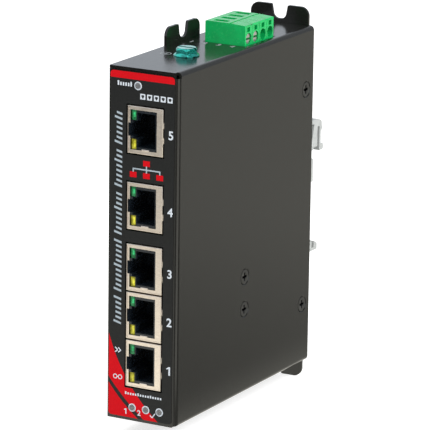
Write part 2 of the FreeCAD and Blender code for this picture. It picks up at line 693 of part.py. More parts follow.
def indicator_lows():
    """Lower edges of the yellow and the green indicator."""
    margin = OPENING_BORDER + HOLE_CLEARANCE
    return margin, JACK_HEIGHT - margin - INDICATOR_HEIGHT


def jack_insert(contacts):
    """The black plastic insert, with its socket, latch notch, posts and indicator pockets."""
    gap = INDICATOR_CLEARANCE
    shell = SHIELD_SHEET + gap
    body = jack_block((shell, JACK_WIDTH - shell), (shell, JACK_DEPTH - shell), (shell, JACK_HEIGHT - shell))
    wall = OPENING_LEFT + OPENING_WIDTH
    middle = JACK_HEIGHT / 2
    socket_left = wall - PLUG_THICKNESS
    step_left = socket_left - LATCH_STEP
    socket = jack_block((socket_left, wall), (-PAST, PLUG_DEPTH),
                        (middle - PLUG_WIDTH / 2, middle + PLUG_WIDTH / 2))
    step = jack_block((step_left, wall), (-PAST, PLUG_DEPTH),
                      (middle - LATCH_STEP_WIDTH / 2, middle + LATCH_STEP_WIDTH / 2))
    notch = jack_block((LATCH_WALL, wall), (-PAST, PLUG_DEPTH),
                       (middle - LATCH_WIDTH / 2, middle + LATCH_WIDTH / 2))
    springs_half = ((CONTACT_COUNT - 1) * CONTACT_PITCH + CONTACT_WIDTH) / 2 + SPRING_ROOM_SIDE
    spring_room = jack_block((socket_left, wall + CONTACT_THICKNESS), (SPRING_ROOM_FRONT, PLUG_DEPTH),
                             (middle - springs_half, middle + springs_half))
    pockets = []
    for low in indicator_lows():
        pockets.append(jack_block((shell, OPENING_LEFT + HOLE_CLEARANCE + INDICATOR_WIDTH + gap),
                                  (-PAST, INDICATOR_SET_BACK + INDICATOR_DEPTH + gap),
                                  (low - gap, low + INDICATOR_HEIGHT + gap)))
    posts = []
    for side in (-POST_SPACING / 2, POST_SPACING / 2):
        foot = Vector(JACK_LEFT, JACK_FRONT + POST_DEPTH, middle + side)
        posts.append(rod(POST_RADIUS, foot + RIGHT * (shell + gap), foot - RIGHT * POST_LENGTH))
    return cut(join([body] + posts), [socket, step, notch, spring_room, contacts] + pockets)


# ---- circuit board and what is on it ----

def standoff_places():
    """Y and Z of the four standoffs."""
    back = BOARD_BACK - STANDOFF_BACK_INSET
    low = BOARD_BOTTOM + STANDOFF_END_INSET
    high = BOARD_TOP - STANDOFF_END_INSET
    return [(y, z) for y in (STANDOFF_FRONT, back) for z in (low, high)]


def circuit_board():
    """The upright board, drilled for screws, jack posts, jack contacts and header pins."""
    plate = block((BOARD_UNDERSIDE, BOARD_FACE), (BOARD_FRONT, BOARD_BACK), (BOARD_BOTTOM, BOARD_TOP))
    through = (BOARD_UNDERSIDE - PAST, BOARD_FACE + PAST)

    def drill(radius, y, z):
        return rod(radius, Vector(through[0], y, z), Vector(through[1], y, z))

    holes = [drill(BOARD_HOLE_RADIUS, y, z) for y, z in standoff_places()]
    tail_y = JACK_FRONT + JACK_DEPTH - CONTACT_BACK_WALL
    half_y = CONTACT_THICKNESS / 2 + HOLE_CLEARANCE
    half_z = CONTACT_WIDTH / 2 + HOLE_CLEARANCE
    for bottom in JACK_BOTTOMS:
        middle = bottom + JACK_HEIGHT / 2
        for side in (-POST_SPACING / 2, POST_SPACING / 2):
            holes.append(drill(POST_RADIUS + HOLE_CLEARANCE, JACK_FRONT + POST_DEPTH, middle + side))
        for number in range(CONTACT_COUNT):
            z = middle + (number - (CONTACT_COUNT - 1) / 2) * CONTACT_PITCH
            holes.append(block(through, (tail_y - half_y, tail_y + half_y), (z - half_z, z + half_z)))
    half_pin = PIN_SIZE / 2 + HOLE_CLEARANCE
    pin_z = HEADER_BOTTOM + HEADER_FLOOR / 2
    for y in POLES:
        holes.append(block(through, (y - half_pin, y + half_pin), (pin_z - half_pin, pin_z + half_pin)))
    return cut(plate, holes)


def board_standoffs():
    """Four tapped standoffs pressed into the left wall."""
    pieces = []
    for y, z in standoff_places():
        start = Vector(0, y, z)
        post = join([
            rod(STANDOFF_RADIUS, start + RIGHT * SHEET, start + RIGHT * BOARD_UNDERSIDE),
            rod(SCREW_RADIUS, start + RIGHT * (SHEET / 10), start + RIGHT * SHEET),
        ])
        bore = rod(SCREW_RADIUS + TAPPED_CLEARANCE,
                   start + RIGHT * (BOARD_FACE - BOARD_SCREW_LENGTH - 2 * HOLE_CLEARANCE),
                   start + RIGHT * BOARD_FACE)
        pieces.append(cut(post, [bore]))
    return Part.makeCompound(pieces)


def pan_screw(seat, out, length):
    """A pan-head screw whose head sits on the seat and points out."""
    head = rod(PAN_HEAD_RADIUS, seat, seat + out * PAN_HEAD_HEIGHT)
    rim = [edge for edge in head.Edges
           if (edge.CenterOfMass - (seat + out * PAN_HEAD_HEIGHT)).Length < 1e-3]
    head = head.makeFillet(PAN_HEAD_ROUNDING, rim)
    shank = rod(SCREW_RADIUS, seat, seat - out * length)
    crest = seat + out * PAN_HEAD_HEIGHT
    other = UP.cross(out)
    blades = []
    for blade, width in ((UP, other), (other, UP)):
        centre = crest - out * CROSS_DEPTH
        half = blade * (CROSS_LENGTH / 2)
        thin = width * (CROSS_WIDTH / 2)
        corners = [centre - half - thin, centre + half - thin, centre + half + thin, centre - half + thin]
        blades.append(outline([(corner, 0) for corner in corners]).extrude(out * 2 * CROSS_DEPTH))
    return cut(join([head, shank]), blades)


def board_screws():
    """The four screws that hold the board on its standoffs."""
    return Part.makeCompound([pan_screw(Vector(BOARD_FACE, y, z), RIGHT, BOARD_SCREW_LENGTH)
                              for y, z in standoff_places()])


def on_board(thickness, y_range, z_range):
    """A box standing on the board's component side."""
    return block((BOARD_FACE, BOARD_FACE + thickness), y_range, z_range)


def switch_chip():
    """The flat switch chip with leads on its four sides."""
    z_low = MIDDLE_SCREW_Z - CHIP_HEIGHT / 2
    y_range = (CHIP_FRONT, CHIP_FRONT + CHIP_WIDTH)
    z_range = (z_low, z_low + CHIP_HEIGHT)
    leads = []
    for count, span, side in ((int((CHIP_WIDTH - 2 * LEAD_MARGIN) / LEAD_PITCH), y_range, "z"),
                              (int((CHIP_HEIGHT - 2 * LEAD_MARGIN) / LEAD_PITCH), z_range, "y")):
        middle = (span[0] + span[1]) / 2
        for number in range(count):
            place = middle + (number - (count - 1) / 2) * LEAD_PITCH
            own = (place - LEAD_WIDTH / 2, place + LEAD_WIDTH / 2)
            if side == "z":
                lead = on_board(LEAD_THICKNESS, own, (z_range[0] - LEAD_LENGTH, z_range[1] + LEAD_LENGTH))
            else:
                lead = on_board(LEAD_THICKNESS, (y_range[0] - LEAD_LENGTH, y_range[1] + LEAD_LENGTH), own)
            leads.append(lead)
    return join([on_board(CHIP_THICKNESS, y_range, z_range)] + leads)


def magnetics():
    """One isolating transformer block behind each jack."""
    pieces = []
    for bottom in JACK_BOTTOMS:
        middle = bottom + JACK_HEIGHT / 2
        pieces.append(on_board(MAGNETICS_THICKNESS, (MAGNETICS_FRONT, MAGNETICS_FRONT + MAGNETICS_DEPTH),
                               (middle - MAGNETICS_HEIGHT / 2, middle + MAGNETICS_HEIGHT / 2)))
    return Part.makeCompound(pieces)


def crystal():
    """A crystal can with rounded ends."""
    half = CRYSTAL_WIDTH / 2
    reach = CRYSTAL_LENGTH / 2
    corners = [(Vector(BOARD_FACE, CRYSTAL_Y + y, CRYSTAL_Z + z), half - STRAIGHT)
               for y, z in ((-half, -reach), (half, -reach), (half, reach), (-half, reach))]
    return outline(corners).extrude(RIGHT * CRYSTAL_THICKNESS)


def capacitors():
    """A row of can capacitors on square feet."""
    pieces = []
    for number in range(CAPACITOR_COUNT):
        z = CAPACITOR_BOTTOM + number * CAPACITOR_PITCH
        foot = on_board(CAPACITOR_FOOT, (CAPACITOR_Y - CAPACITOR_RADIUS, CAPACITOR_Y + CAPACITOR_RADIUS),
                        (z - CAPACITOR_RADIUS, z + CAPACITOR_RADIUS))
        start = Vector(BOARD_FACE, CAPACITOR_Y, z)
        can = rod(CAPACITOR_RADIUS, start, start + RIGHT * CAPACITOR_LENGTH)
        pieces.append(join([foot, can]))
    return Part.makeCompound(pieces)


def inductor():
    """A square shielded inductor with cut corners."""
    half = INDUCTOR_SIZE / 2
    corners = [(Vector(BOARD_FACE, INDUCTOR_Y + y, INDUCTOR_Z + z), INDUCTOR_CORNER)
               for y, z in ((-half, -half), (half, -half), (half, half), (-half, half))]
    return outline(corners).extrude(RIGHT * INDUCTOR_THICKNESS)


def regulator():
    """A power regulator with its metal tab."""
    low = REGULATOR_Z - REGULATOR_HEIGHT / 2
    body_half = REGULATOR_DEPTH / 2
    tab_half = REGULATOR_TAB_DEPTH / 2
    body = on_board(REGULATOR_THICKNESS, (REGULATOR_Y - body_half, REGULATOR_Y + body_half),
                    (low, low + REGULATOR_BODY))
    tab = on_board(REGULATOR_TAB_THICKNESS, (REGULATOR_Y - tab_half, REGULATOR_Y + tab_half),
                   (low, low + REGULATOR_HEIGHT))
    return join([body, tab])


def heat_bracket():
    """The folded plate that carries the chip's heat to the right side."""
    foot_low = BOARD_FACE + CHIP_THICKNESS
    foot_high = foot_low + BRACKET_SHEET
    side_high = CASE_WIDTH - SHEET
    side_low = side_high - BRACKET_SHEET
    web_back = CHIP_FRONT
    web_front = web_back - BRACKET_SHEET
    foot_back = CHIP_FRONT + CHIP_WIDTH
    side_front = web_back - BRACKET_FLANGE
    bottom = MIDDLE_SCREW_Z - BRACKET_HEIGHT / 2
    inside = BRACKET_FOLD
    outside = inside + BRACKET_SHEET
    face = outline([
        (Vector(foot_low, web_front, bottom), outside),
        (Vector(foot_low, foot_back, bottom), 0),
        (Vector(foot_high, foot_back, bottom), 0),
        (Vector(foot_high, web_back, bottom), inside),
        (Vector(side_high, web_back, bottom), outside),
        (Vector(side_high, side_front, bottom), 0),
        (Vector(side_low, side_front, bottom), 0),
        (Vector(side_low, web_front, bottom), inside),
    ])
    body = face.extrude(UP * BRACKET_HEIGHT)
    holes = [hole for place in middle_side_screws() for hole in side_screw_hole(place)]
    return cut(body, holes)


# ---- status lights ----

def light_pipe(x, z, reach):
    """A light pipe that runs back from the front and turns to its lamp on the board."""
    front = Vector(x, -LABEL_THICKNESS - PIPE_PROUD, z)
    elbow = Vector(x, reach, z)
    lamp = Vector(BOARD_FACE + LAMP_THICKNESS + PIPE_LAMP_GAP, reach, z)
    collar = Vector(x, SHEET + PIPE_CLEARANCE, z)
    return join([rod(PIPE_RADIUS, front, elbow), Part.makeSphere(PIPE_RADIUS, elbow),
                 rod(PIPE_RADIUS, elbow, lamp),
                 rod(PIPE_COLLAR_RADIUS, collar, collar + BACK * PIPE_COLLAR)])


def indicator_lamps():
    """The small lamps under the light pipes."""
    half = LAMP_SIZE / 2
    return Part.makeCompound([on_board(LAMP_THICKNESS, (y - half, y + half), (z - half, z + half))
                              for y, z in zip(PIPE_REACH, PIPE_Z)])


# ---- terminal ----

def terminal_screw_set_back(number):
    """How far a screw's head lies behind the right face; the last two are screwed home."""
    screwed_in = number >= POLE_COUNT / 2
    return TERMINAL_SCREW_SET_BACK + (CLAMP_TRAVEL if screwed_in else 0)


def clamp_right(number):
    """The right face of a wire clamp, which hangs on its screw's tip."""
    backed_out = FRAME_RIGHT - FRAME_NUT
    return backed_out - (terminal_screw_set_back(number) - TERMINAL_SCREW_SET_BACK)


def plug_pin_rooms():
    """Room for the header's pins in the plug's nose."""
    half = PIN_SIZE / 2 + PIN_CLEARANCE
    high = HEADER_TOP - HEADER_FLOOR / 2 + PIN_CLEARANCE
    return [block((PIN_X - half, PIN_X + half), (y - half, y + half), (NOSE_BOTTOM - PAST, high))
            for y in POLES]


def terminal_plug():
    """The green housing: wire entries on top, screw wells and probe holes on the right."""
    ridge = TERMINAL_LEFT + TERMINAL_RIDGE
    front = TERMINAL_FRONT
    length = TERMINAL_BACK - TERMINAL_FRONT
    body = outline([
        (Vector(TERMINAL_LEFT, front, TERMINAL_BOTTOM), 0),
        (Vector(TERMINAL_LEFT, front, TERMINAL_TOP), TERMINAL_ROUNDING),
        (Vector(ridge, front, TERMINAL_TOP), 0),
        (Vector(TERMINAL_RIGHT, front, TERMINAL_TOP - TERMINAL_FALL), TERMINAL_ROUNDING),
        (Vector(TERMINAL_RIGHT, front, TERMINAL_BOTTOM), 0),
    ]).extrude(BACK * length)
    nose = block((NOSE_X, NOSE_X + NOSE_WIDTH),
                 (front + HEADER_WALL + NOSE_CLEARANCE, TERMINAL_BACK - HEADER_WALL - NOSE_CLEARANCE),
                 (NOSE_BOTTOM, TERMINAL_BOTTOM))
    tools = plug_pin_rooms()
    tools.append(block((ridge, ridge + GROOVE_WIDTH), (front - PAST, TERMINAL_BACK + PAST),
                       (TERMINAL_TOP - GROOVE_DEPTH, TERMINAL_TOP + PAST)))
    for y in POLES:
        half = FRAME_WIDTH / 2 + CLAMP_CLEARANCE
        chamber_low = SCREW_AXIS - FRAME_HEIGHT / 2 - CLAMP_CLEARANCE
        chamber_high = SCREW_AXIS + FRAME_HEIGHT / 2 + CLAMP_CLEARANCE
        tools.append(block((FRAME_X - CLAMP_CLEARANCE, FRAME_RIGHT + CLAMP_CLEARANCE),
                           (y - half, y + half), (chamber_low, chamber_high)))
        entry = TERMINAL_LEFT + ENTRY_LEFT
        tools.append(block((entry, entry + ENTRY_WIDTH), (y - ENTRY_LENGTH / 2, y + ENTRY_LENGTH / 2),
                           (chamber_high - PAST, TERMINAL_TOP + PAST)))
        tools.append(rod(TERMINAL_SCREW_HEAD + WELL_CLEARANCE, Vector(FRAME_RIGHT, y, SCREW_AXIS),
                         Vector(TERMINAL_RIGHT + PAST, y, SCREW_AXIS)))
        probe = SCREW_AXIS + PROBE_RISE
        tools.append(block((TERMINAL_RIGHT - PROBE_DEPTH, TERMINAL_RIGHT + PAST),
                           (y - PROBE_SIZE_Y / 2, y + PROBE_SIZE_Y / 2),
                           (probe - PROBE_SIZE_Z / 2, probe + PROBE_SIZE_Z / 2)))
    return cut(join([body, nose]), tools)


def clamp_frames():
    """Four fixed metal frames, each with a contact bar and a tapped wall for its screw."""
    pieces = []
    for y in POLES:
        low = SCREW_AXIS - FRAME_HEIGHT / 2
        high = SCREW_AXIS + FRAME_HEIGHT / 2
        half = FRAME_WIDTH / 2
        body = block((FRAME_X, FRAME_RIGHT), (y - half, y + half), (low, high))
        room = block((FRAME_X + FRAME_BAR, FRAME_RIGHT - FRAME_NUT),
                     (y - half + FRAME_WALL, y + half - FRAME_WALL), (low - PAST, high + PAST))
        bore = rod(TERMINAL_SCREW_RADIUS + TAPPED_CLEARANCE, Vector(FRAME_X + FRAME_BAR, y, SCREW_AXIS),
                   Vector(FRAME_RIGHT + PAST, y, SCREW_AXIS))
        pieces.append(cut(body, [room, bore]))
    return Part.makeCompound(pieces)


def wire_clamp(number):
    """The plate on a screw's tip that presses the wire against the frame's bar."""
    y = POLES[number]
    right = clamp_right(number)
    half = FRAME_WIDTH / 2 - FRAME_WALL - CLAMP_CLEARANCE
    plate = block((right - CLAMP_THICKNESS, right), (y - half, y + half),
                  (SCREW_AXIS - CLAMP_HEIGHT / 2, SCREW_AXIS + CLAMP_HEIGHT / 2))
    socket = rod(TIP_RADIUS + TAPPED_CLEARANCE, Vector(right - CLAMP_THICKNESS / 2, y, SCREW_AXIS),
                 Vector(right + PAST, y, SCREW_AXIS))
    return cut(plate, [socket])


def terminal_screw(number):
    """A slotted clamp screw, its axis along X and its tip in the wire clamp."""
    y = POLES[number]
    face = Vector(TERMINAL_RIGHT - terminal_screw_set_back(number), y, SCREW_AXIS)
    shoulder = face - RIGHT * TERMINAL_SCREW_HEAD_HEIGHT
    neck = Vector(clamp_right(number) + TAPPED_CLEARANCE, y, SCREW_AXIS)
    tip = neck - RIGHT * (CLAMP_THICKNESS / 2)
    body = join([rod(TERMINAL_SCREW_HEAD, shoulder, face), rod(TERMINAL_SCREW_RADIUS, neck, shoulder),
                 rod(TIP_RADIUS, tip, neck)])
    reach = TERMINAL_SCREW_HEAD + PAST
    slot = block((face.x - SLOT_DEPTH, face.x + PAST), (y - reach, y + reach),
                 (SCREW_AXIS - SLOT_WIDTH / 2, SCREW_AXIS + SLOT_WIDTH / 2))
    return cut(body, [slot])


def header_pins():
    """Four square pins, up into the plug and back through the board."""
    half = PIN_SIZE / 2
    foot = HEADER_BOTTOM + HEADER_FLOOR / 2
    top = HEADER_TOP - HEADER_FLOOR / 2
    pieces = []
    for y in POLES:
        upright = block((PIN_X - half, PIN_X + half), (y - half, y + half), (foot - half, top))
        level = block((BOARD_UNDERSIDE - PIN_SIZE, PIN_X + half), (y - half, y + half),
                      (foot - half, foot + half))
        pieces.append(join([upright, level]))
    return Part.makeCompound(pieces)


def terminal_header(pins):
    """The board's half of the terminal, open at the top."""
    body = block((BOARD_FACE, BOARD_FACE + HEADER_WIDTH), (TERMINAL_FRONT, TERMINAL_BACK),
                 (HEADER_BOTTOM, HEADER_TOP))
    well = block((NOSE_X - NOSE_CLEARANCE, NOSE_X + NOSE_WIDTH + NOSE_CLEARANCE),
                 (TERMINAL_FRONT + HEADER_WALL, TERMINAL_BACK - HEADER_WALL),
                 (HEADER_BOTTOM + HEADER_FLOOR, HEADER_TOP + PAST))
    return cut(body, [well, pins])


# ---- ground screw ----

def ground_screw():
    """A slotted hexagon screw with a flange, standing on the case's top."""
    seat = Vector(GROUND_X, GROUND_Y, CASE_HEIGHT)
    rim = seat + UP * GROUND_FLANGE_RIM
    top_radius = GROUND_HEX_FLATS / 2 - GROUND_HEAD_CHAMFER
    flange = rod(GROUND_FLANGE_RADIUS, seat, rim)
    slope = taper(GROUND_FLANGE_RADIUS, GROUND_HEX_FLATS / 2, rim, seat + UP * GROUND_FLANGE_HEIGHT)
    head = hexagon(GROUND_HEX_FLATS, seat, UP * GROUND_HEAD_HEIGHT)
    crown = taper(top_radius + GROUND_HEAD_HEIGHT, top_radius, seat, seat + UP * GROUND_HEAD_HEIGHT)
    shank = rod(GROUND_SCREW_RADIUS, seat, seat - UP * GROUND_SCREW_LENGTH)
    top = CASE_HEIGHT + GROUND_HEAD_HEIGHT
    slot = block((GROUND_X - GROUND_HEX_FLATS, GROUND_X + GROUND_HEX_FLATS),
                 (GROUND_Y - GROUND_SLOT_WIDTH / 2, GROUND_Y + GROUND_SLOT_WIDTH / 2),
                 (top - GROUND_SLOT_DEPTH, top + PAST))
    return cut(join([flange, slope, head.common(crown), shank]), [slot])


def press_nut(flats, height, radius, seat, inward):
    """A hexagonal press nut with its bore, from its seat inwards."""
    body = hexagon(flats, seat, inward * height)
    bore = rod(radius + TAPPED_CLEARANCE, seat - inward, seat + inward * (height + PAST))
    return cut(body, [bore])


def press_nuts():
    """The nuts for the ground screw, under its tab, and for the clip's screws, in the back wall."""
    ground_seat = Vector(GROUND_X, GROUND_Y, WALL_TOP - SHEET)
    nuts = [press_nut(GROUND_NUT_FLATS, GROUND_NUT_HEIGHT, GROUND_SCREW_RADIUS, ground_seat, -UP)]
    for place in clip_screw_places():
        nuts.append(press_nut(CLIP_NUT_FLATS, CLIP_NUT_HEIGHT, SCREW_RADIUS, place - BACK * SHEET, -BACK))
    return Part.makeCompound(nuts)


# ---- DIN rail clip ----

def clip_screw_places():
    """Where the clip is screwed to the back wall."""
    middle = Vector(CASE_WIDTH / 2, CASE_DEPTH, RAIL_Z - CLIP_SCREW_DROP)
    half = UP * (CLIP_SCREW_SPACING / 2)
    return [middle - half, middle + half]


def din_clip():
    """The one-piece moulded clip: base, rail pad, lower hook and the springy upper catch."""
    ledge = RAIL_HEIGHT / 2 + RAIL_CLEARANCE
    floor = -ledge
    lip_top = -RAIL_HEIGHT / 2 + LIP_OVERLAP
    lip_inner = RAIL_PLANE + RAIL_SLOT
    lip_outer = lip_inner + CLIP_LIP
    foot_bottom = RAIL_HEIGHT / 2 - FOOT_OVERLAP
    inner_back = RAIL_PLANE + INNER_LEG
    leg_front = inner_back + LEG_GAP
    leg_back = leg_front + LEG_THICKNESS
    slot_top = CLIP_TOP - HEAD_THICKNESS
    rib = PAD_HIGH + RIB_RECESS
    slot_round = LEG_GAP / 2 - STRAIGHT
    shoulder = slot_top - FOOT_HEIGHT
    left = CASE_WIDTH / 2 - CLIP_WIDTH / 2

    def at(depth, rise):
        return Vector(left, CASE_DEPTH + depth, RAIL_Z + rise)

    face = outline([
        (at(0, -CLIP_BOTTOM), CLIP_CORNER),
        (at(lip_outer, -CLIP_BOTTOM), CLIP_EDGE),
        (at(lip_outer, lip_top - LIP_SLOPE), CLIP_CORNER),
        (at(lip_inner, lip_top), CLIP_EDGE),
        (at(lip_inner, floor), CLIP_EDGE),
        (at(RAIL_PLANE, floor), CLIP_EDGE),
        (at(RAIL_PLANE, lip_top), CLIP_EDGE),
        (at(CLIP_BASE, lip_top + LIP_SLOPE), CLIP_FILLET),
        (at(CLIP_BASE, PAD_LOW), CLIP_FILLET),
        (at(RAIL_PLANE, PAD_LOW), CLIP_CORNER),
        (at(RAIL_PLANE, PAD_HIGH), CLIP_CORNER),
        (at(CLIP_BASE, PAD_HIGH), CLIP_CORNER),
        (at(CLIP_BASE, rib), CLIP_CORNER),
        (at(RAIL_PLANE, rib + RIB_SLOPE), CLIP_EDGE),
        (at(RAIL_PLANE, ledge), CLIP_EDGE / 2),
        (at(inner_back, ledge), CLIP_EDGE),
        (at(inner_back, slot_top), slot_round),
        (at(leg_front, slot_top), slot_round),
        (at(leg_front, foot_bottom), CLIP_EDGE),
        (at(leg_back + FOOT_FLARE, foot_bottom), CLIP_FILLET),
        (at(leg_back + FOOT_FLARE, foot_bottom + FOOT_HEIGHT), CLIP_CORNER),
        (at(leg_back, foot_bottom + FOOT_HEIGHT), CLIP_EDGE),
        (at(leg_back, shoulder), CLIP_CORNER),
        (at(leg_back + HEAD_SHOULDER, shoulder + HEAD_SHOULDER), CLIP_FILLET),
        (at(leg_back + HEAD_LEAN, CLIP_TOP - HEAD_SHOULDER), CLIP_FILLET),
        (at(inner_back, CLIP_TOP), CLIP_SHOULDER),
        (at(0, CLIP_TOP), CLIP_CORNER),
    ])
    body = face.extrude(RIGHT * CLIP_WIDTH)
    pocket = outline([
        (at(CLIP_BASE, ledge - POCKET_LOW), CLIP_CORNER),
        (at(RAIL_PLANE - POCKET_RISE, ledge + POCKET_RISE), CLIP_CORNER),
        (at(RAIL_PLANE + POCKET_REACH, CLIP_TOP - POCKET_ROOF), CLIP_CORNER),
        (at(CLIP_BASE, CLIP_TOP - POCKET_ROOF), CLIP_CORNER),
    ]).extrude(RIGHT * CLIP_WIDTH)
    holes = [rod(SCREW_RADIUS + 2 * HOLE_CLEARANCE, place - BACK, place + BACK * (CLIP_BASE + PAST))
             for place in clip_screw_places()]
    return cut(body, [pocket] + holes)


def din_clip_screws():
    """The two screws that hold the clip."""
    return Part.makeCompound([pan_screw(place + BACK * CLIP_BASE, BACK, CLIP_SCREW_LENGTH)
                              for place in clip_screw_places()])


# ---- every piece by its name ----

def jack_pieces():
    """The pieces of all five jacks; each kind is drawn once and copied upwards."""
    contacts = jack_contacts()
    yellow_low, green_low = indicator_lows()
    kinds = {
        "jack_shield": jack_shield(),
        "jack_insert": jack_insert(contacts),
        "jack_contacts": contacts,
        "jack_green_light": jack_indicator(green_low),
        "jack_yellow_light": jack_indicator(yellow_low),
    }
    pieces = {}
    for kind, shape in kinds.items():
        for number, bottom in enumerate(JACK_BOTTOMS, start=1):
            pieces["%s_%d" % (kind, number)] = shape.translated(Vector(0, 0, bottom))
    return pieces


def all_pieces():
    """Every piece of the switch, by node name."""
    pins = header_pins()
    pieces = {
        "chassis": chassis(),
        "cover": cover(),
        "front_label": front_label(),
        "side_screws": side_screws(),
        "circuit_board": circuit_board(),
        "board_standoffs": board_standoffs(),
        "board_screws": board_screws(),
        "switch_chip": switch_chip(),
        "magnetics": magnetics(),
        "crystal": crystal(),
        "capacitors": capacitors(),
        "inductor": inductor(),
        "regulator": regulator(),
        "heat_bracket": heat_bracket(),
        "indicator_lamps": indicator_lamps(),
        "terminal_plug": terminal_plug(),
        "clamp_frames": clamp_frames(),
        "header_pins": pins,
        "terminal_header": terminal_header(pins),
        "ground_screw": ground_screw(),
        "press_nuts": press_nuts(),
        "din_clip": din_clip(),
        "din_clip_screws": din_clip_screws(),
    }
    pieces.update(jack_pieces())
    for name, x, z, reach in zip(PIPE_NAMES, PIPE_X, PIPE_Z, PIPE_REACH):
        pieces["light_pipe_" + name] = light_pipe(x, z, reach)
    for number in range(POLE_COUNT):
        pieces["wire_clamp_%d" % (number + 1)] = wire_clamp(number)
        pieces["terminal_screw_%d" % (number + 1)] = terminal_screw(number)
    return pieces


def main():
    """Write one STEP file for each piece."""
    os.makedirs("parts", exist_ok=True)
    for name, shape in all_pieces().items():
        shape.translated(ORIGIN * -1).exportStep("parts/%s.step" % name)


main()
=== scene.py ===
import math

import bpy
from bpy.props import FloatProperty, FloatVectorProperty, PointerProperty
from mathutils import Matrix, Vector


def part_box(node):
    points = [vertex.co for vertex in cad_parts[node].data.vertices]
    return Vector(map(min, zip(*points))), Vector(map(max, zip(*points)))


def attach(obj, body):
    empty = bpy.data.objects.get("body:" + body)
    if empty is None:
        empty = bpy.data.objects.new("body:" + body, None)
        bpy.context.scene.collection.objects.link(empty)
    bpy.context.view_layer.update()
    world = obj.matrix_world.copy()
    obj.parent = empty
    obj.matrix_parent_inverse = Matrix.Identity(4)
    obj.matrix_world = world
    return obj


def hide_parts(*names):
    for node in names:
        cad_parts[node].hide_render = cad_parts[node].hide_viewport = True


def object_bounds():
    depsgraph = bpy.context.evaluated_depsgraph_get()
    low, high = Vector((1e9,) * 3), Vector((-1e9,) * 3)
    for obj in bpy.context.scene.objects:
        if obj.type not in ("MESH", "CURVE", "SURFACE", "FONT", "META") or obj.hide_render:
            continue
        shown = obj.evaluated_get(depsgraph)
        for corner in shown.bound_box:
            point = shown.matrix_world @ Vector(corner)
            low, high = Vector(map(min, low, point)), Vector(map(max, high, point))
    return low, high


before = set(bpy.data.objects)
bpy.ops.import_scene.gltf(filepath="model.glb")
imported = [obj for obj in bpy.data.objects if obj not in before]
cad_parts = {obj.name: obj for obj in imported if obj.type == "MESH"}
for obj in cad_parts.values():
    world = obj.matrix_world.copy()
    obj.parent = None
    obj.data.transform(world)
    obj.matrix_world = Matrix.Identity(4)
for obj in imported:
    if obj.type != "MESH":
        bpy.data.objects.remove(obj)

bl_info = {
    "name": "Rail switch finish",
    "version": (1, 0, 0),
    "blender": (4, 5, 0),
    "location": "3D View > Sidebar > Rail switch",
    "description": "Finishes a DIN rail ethernet switch: print, metal, plastic and studio",
    "category": "Object",
}

MM = 0.001
CAD_BOX = [list(corner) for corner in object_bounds()]
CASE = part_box("cover")[0]            # lower left front corner of the case
CASE_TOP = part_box("cover")[1].z
LABEL_LOW, LABEL_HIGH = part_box("front_label")
LABEL_FACE = LABEL_LOW.y             # front of the label film
JACKS = range(1, 6)
POLES = range(1, 5)
INK = 0.03 * MM                      # thickness of a printed field
MARK = 0.05 * MM                     # thickness of a mark printed over a field
THROUGH = 10 * MM                    # depth of a tool that cuts right through a mark
LABEL_CORNER = 1.2 * MM              # radius of the label's corners
RING = 1.42 * MM                     # radius of the ring round a light
FIGURE_SHARE = 0.72                  # height of a figure, as a share of its type size
BOLD = 0.02                          # thickening of a character, as a share of its type size
WELD = 0.002 * MM                    # nearer points of a CAD mesh are one
FLAT = math.radians(0.5)             # faces at less than this angle are one
CREASE = math.radians(40)            # edges at more than this angle are rounded
SHIELD_WIDTH = 13.6 * MM
SHIELD_HEIGHT = 16.2 * MM
FACING_UP = (0, 0, 0)                # how a disc or a character is turned
FACING_FRONT = (math.pi / 2, 0, 0)
FACING_RIGHT = (0, math.pi / 2, 0)
DARK_SIDE = math.radians(68)         # heading of the studio's dark side, from straight in front
LIGHT_STRIP = math.radians(63)       # heading of the bright strip in it
BACK_RIGHT = math.radians(150)       # heading of the part that the right side reflects
FLOOR_GLOW = 0.62                    # strength at which the lit floor is seen white
PIPES = ["light_pipe_power_1", "light_pipe_power_2", "light_pipe_ok", "light_pipe_status"]


# ---- sizes and colours that a user may change ----

def length(label, note, millimetres):
    """A length property, given in millimetres."""
    return FloatProperty(name=label, description=note, default=millimetres * MM, unit="LENGTH",
                         precision=5)


def colour(label, note, value):
    """A colour property, in linear values."""
    return FloatVectorProperty(name=label, description=note, default=value, subtype="COLOR",
                               size=3, min=0, max=1)


class PrintSettings(bpy.types.PropertyGroup):
    band: length("Band", "Height of the red band along the top", 2.4)
    sweep_rise: length("Sweep rise", "Where the red sweep starts on the left edge", 28.7)
    sweep_run: length("Sweep run", "Where the red sweep ends on the lower edge", 19.3)
    sweep_sag: length("Sweep sag", "How far the sweep's edge bows in", 2.6)
    stripe_rise: length("Stripe rise", "Upper end of the dark stripe on the left edge", 13.4)
    stripe_run: length("Stripe run", "Right end of the dark stripe on the lower edge", 13.8)
    stripe_width: length("Stripe width", "Width of the dark stripe", 1.55)
    stripe_sag: length("Stripe sag", "How far the stripe bows in", 0.6)
    number: length("Number", "Height of the port numbers", 2.95)
    red: colour("Red", "Red of the band and the sweep", (0.55, 0.002, 0.007))
    pale: colour("Pale", "Pale grey of the marks", (0.35, 0.41, 0.45))
    white: colour("White", "White of the rings and small marks", (0.6, 0.65, 0.7))


class CaseSettings(bpy.types.PropertyGroup):
    edge: length("Edge", "Rounding left on the cut edges of the sheet", 0.12)
    screw_edge: length("Screw edge", "Rounding of the side screws' heads", 0.22)
    flare: length("Flare", "Half width of the opened middle of a cross recess", 1.0)
    paint: colour("Paint", "Black powder coat", (0.008, 0.008, 0.007))
    label: colour("Label", "Black of the label film", (0.011, 0.0115, 0.011))


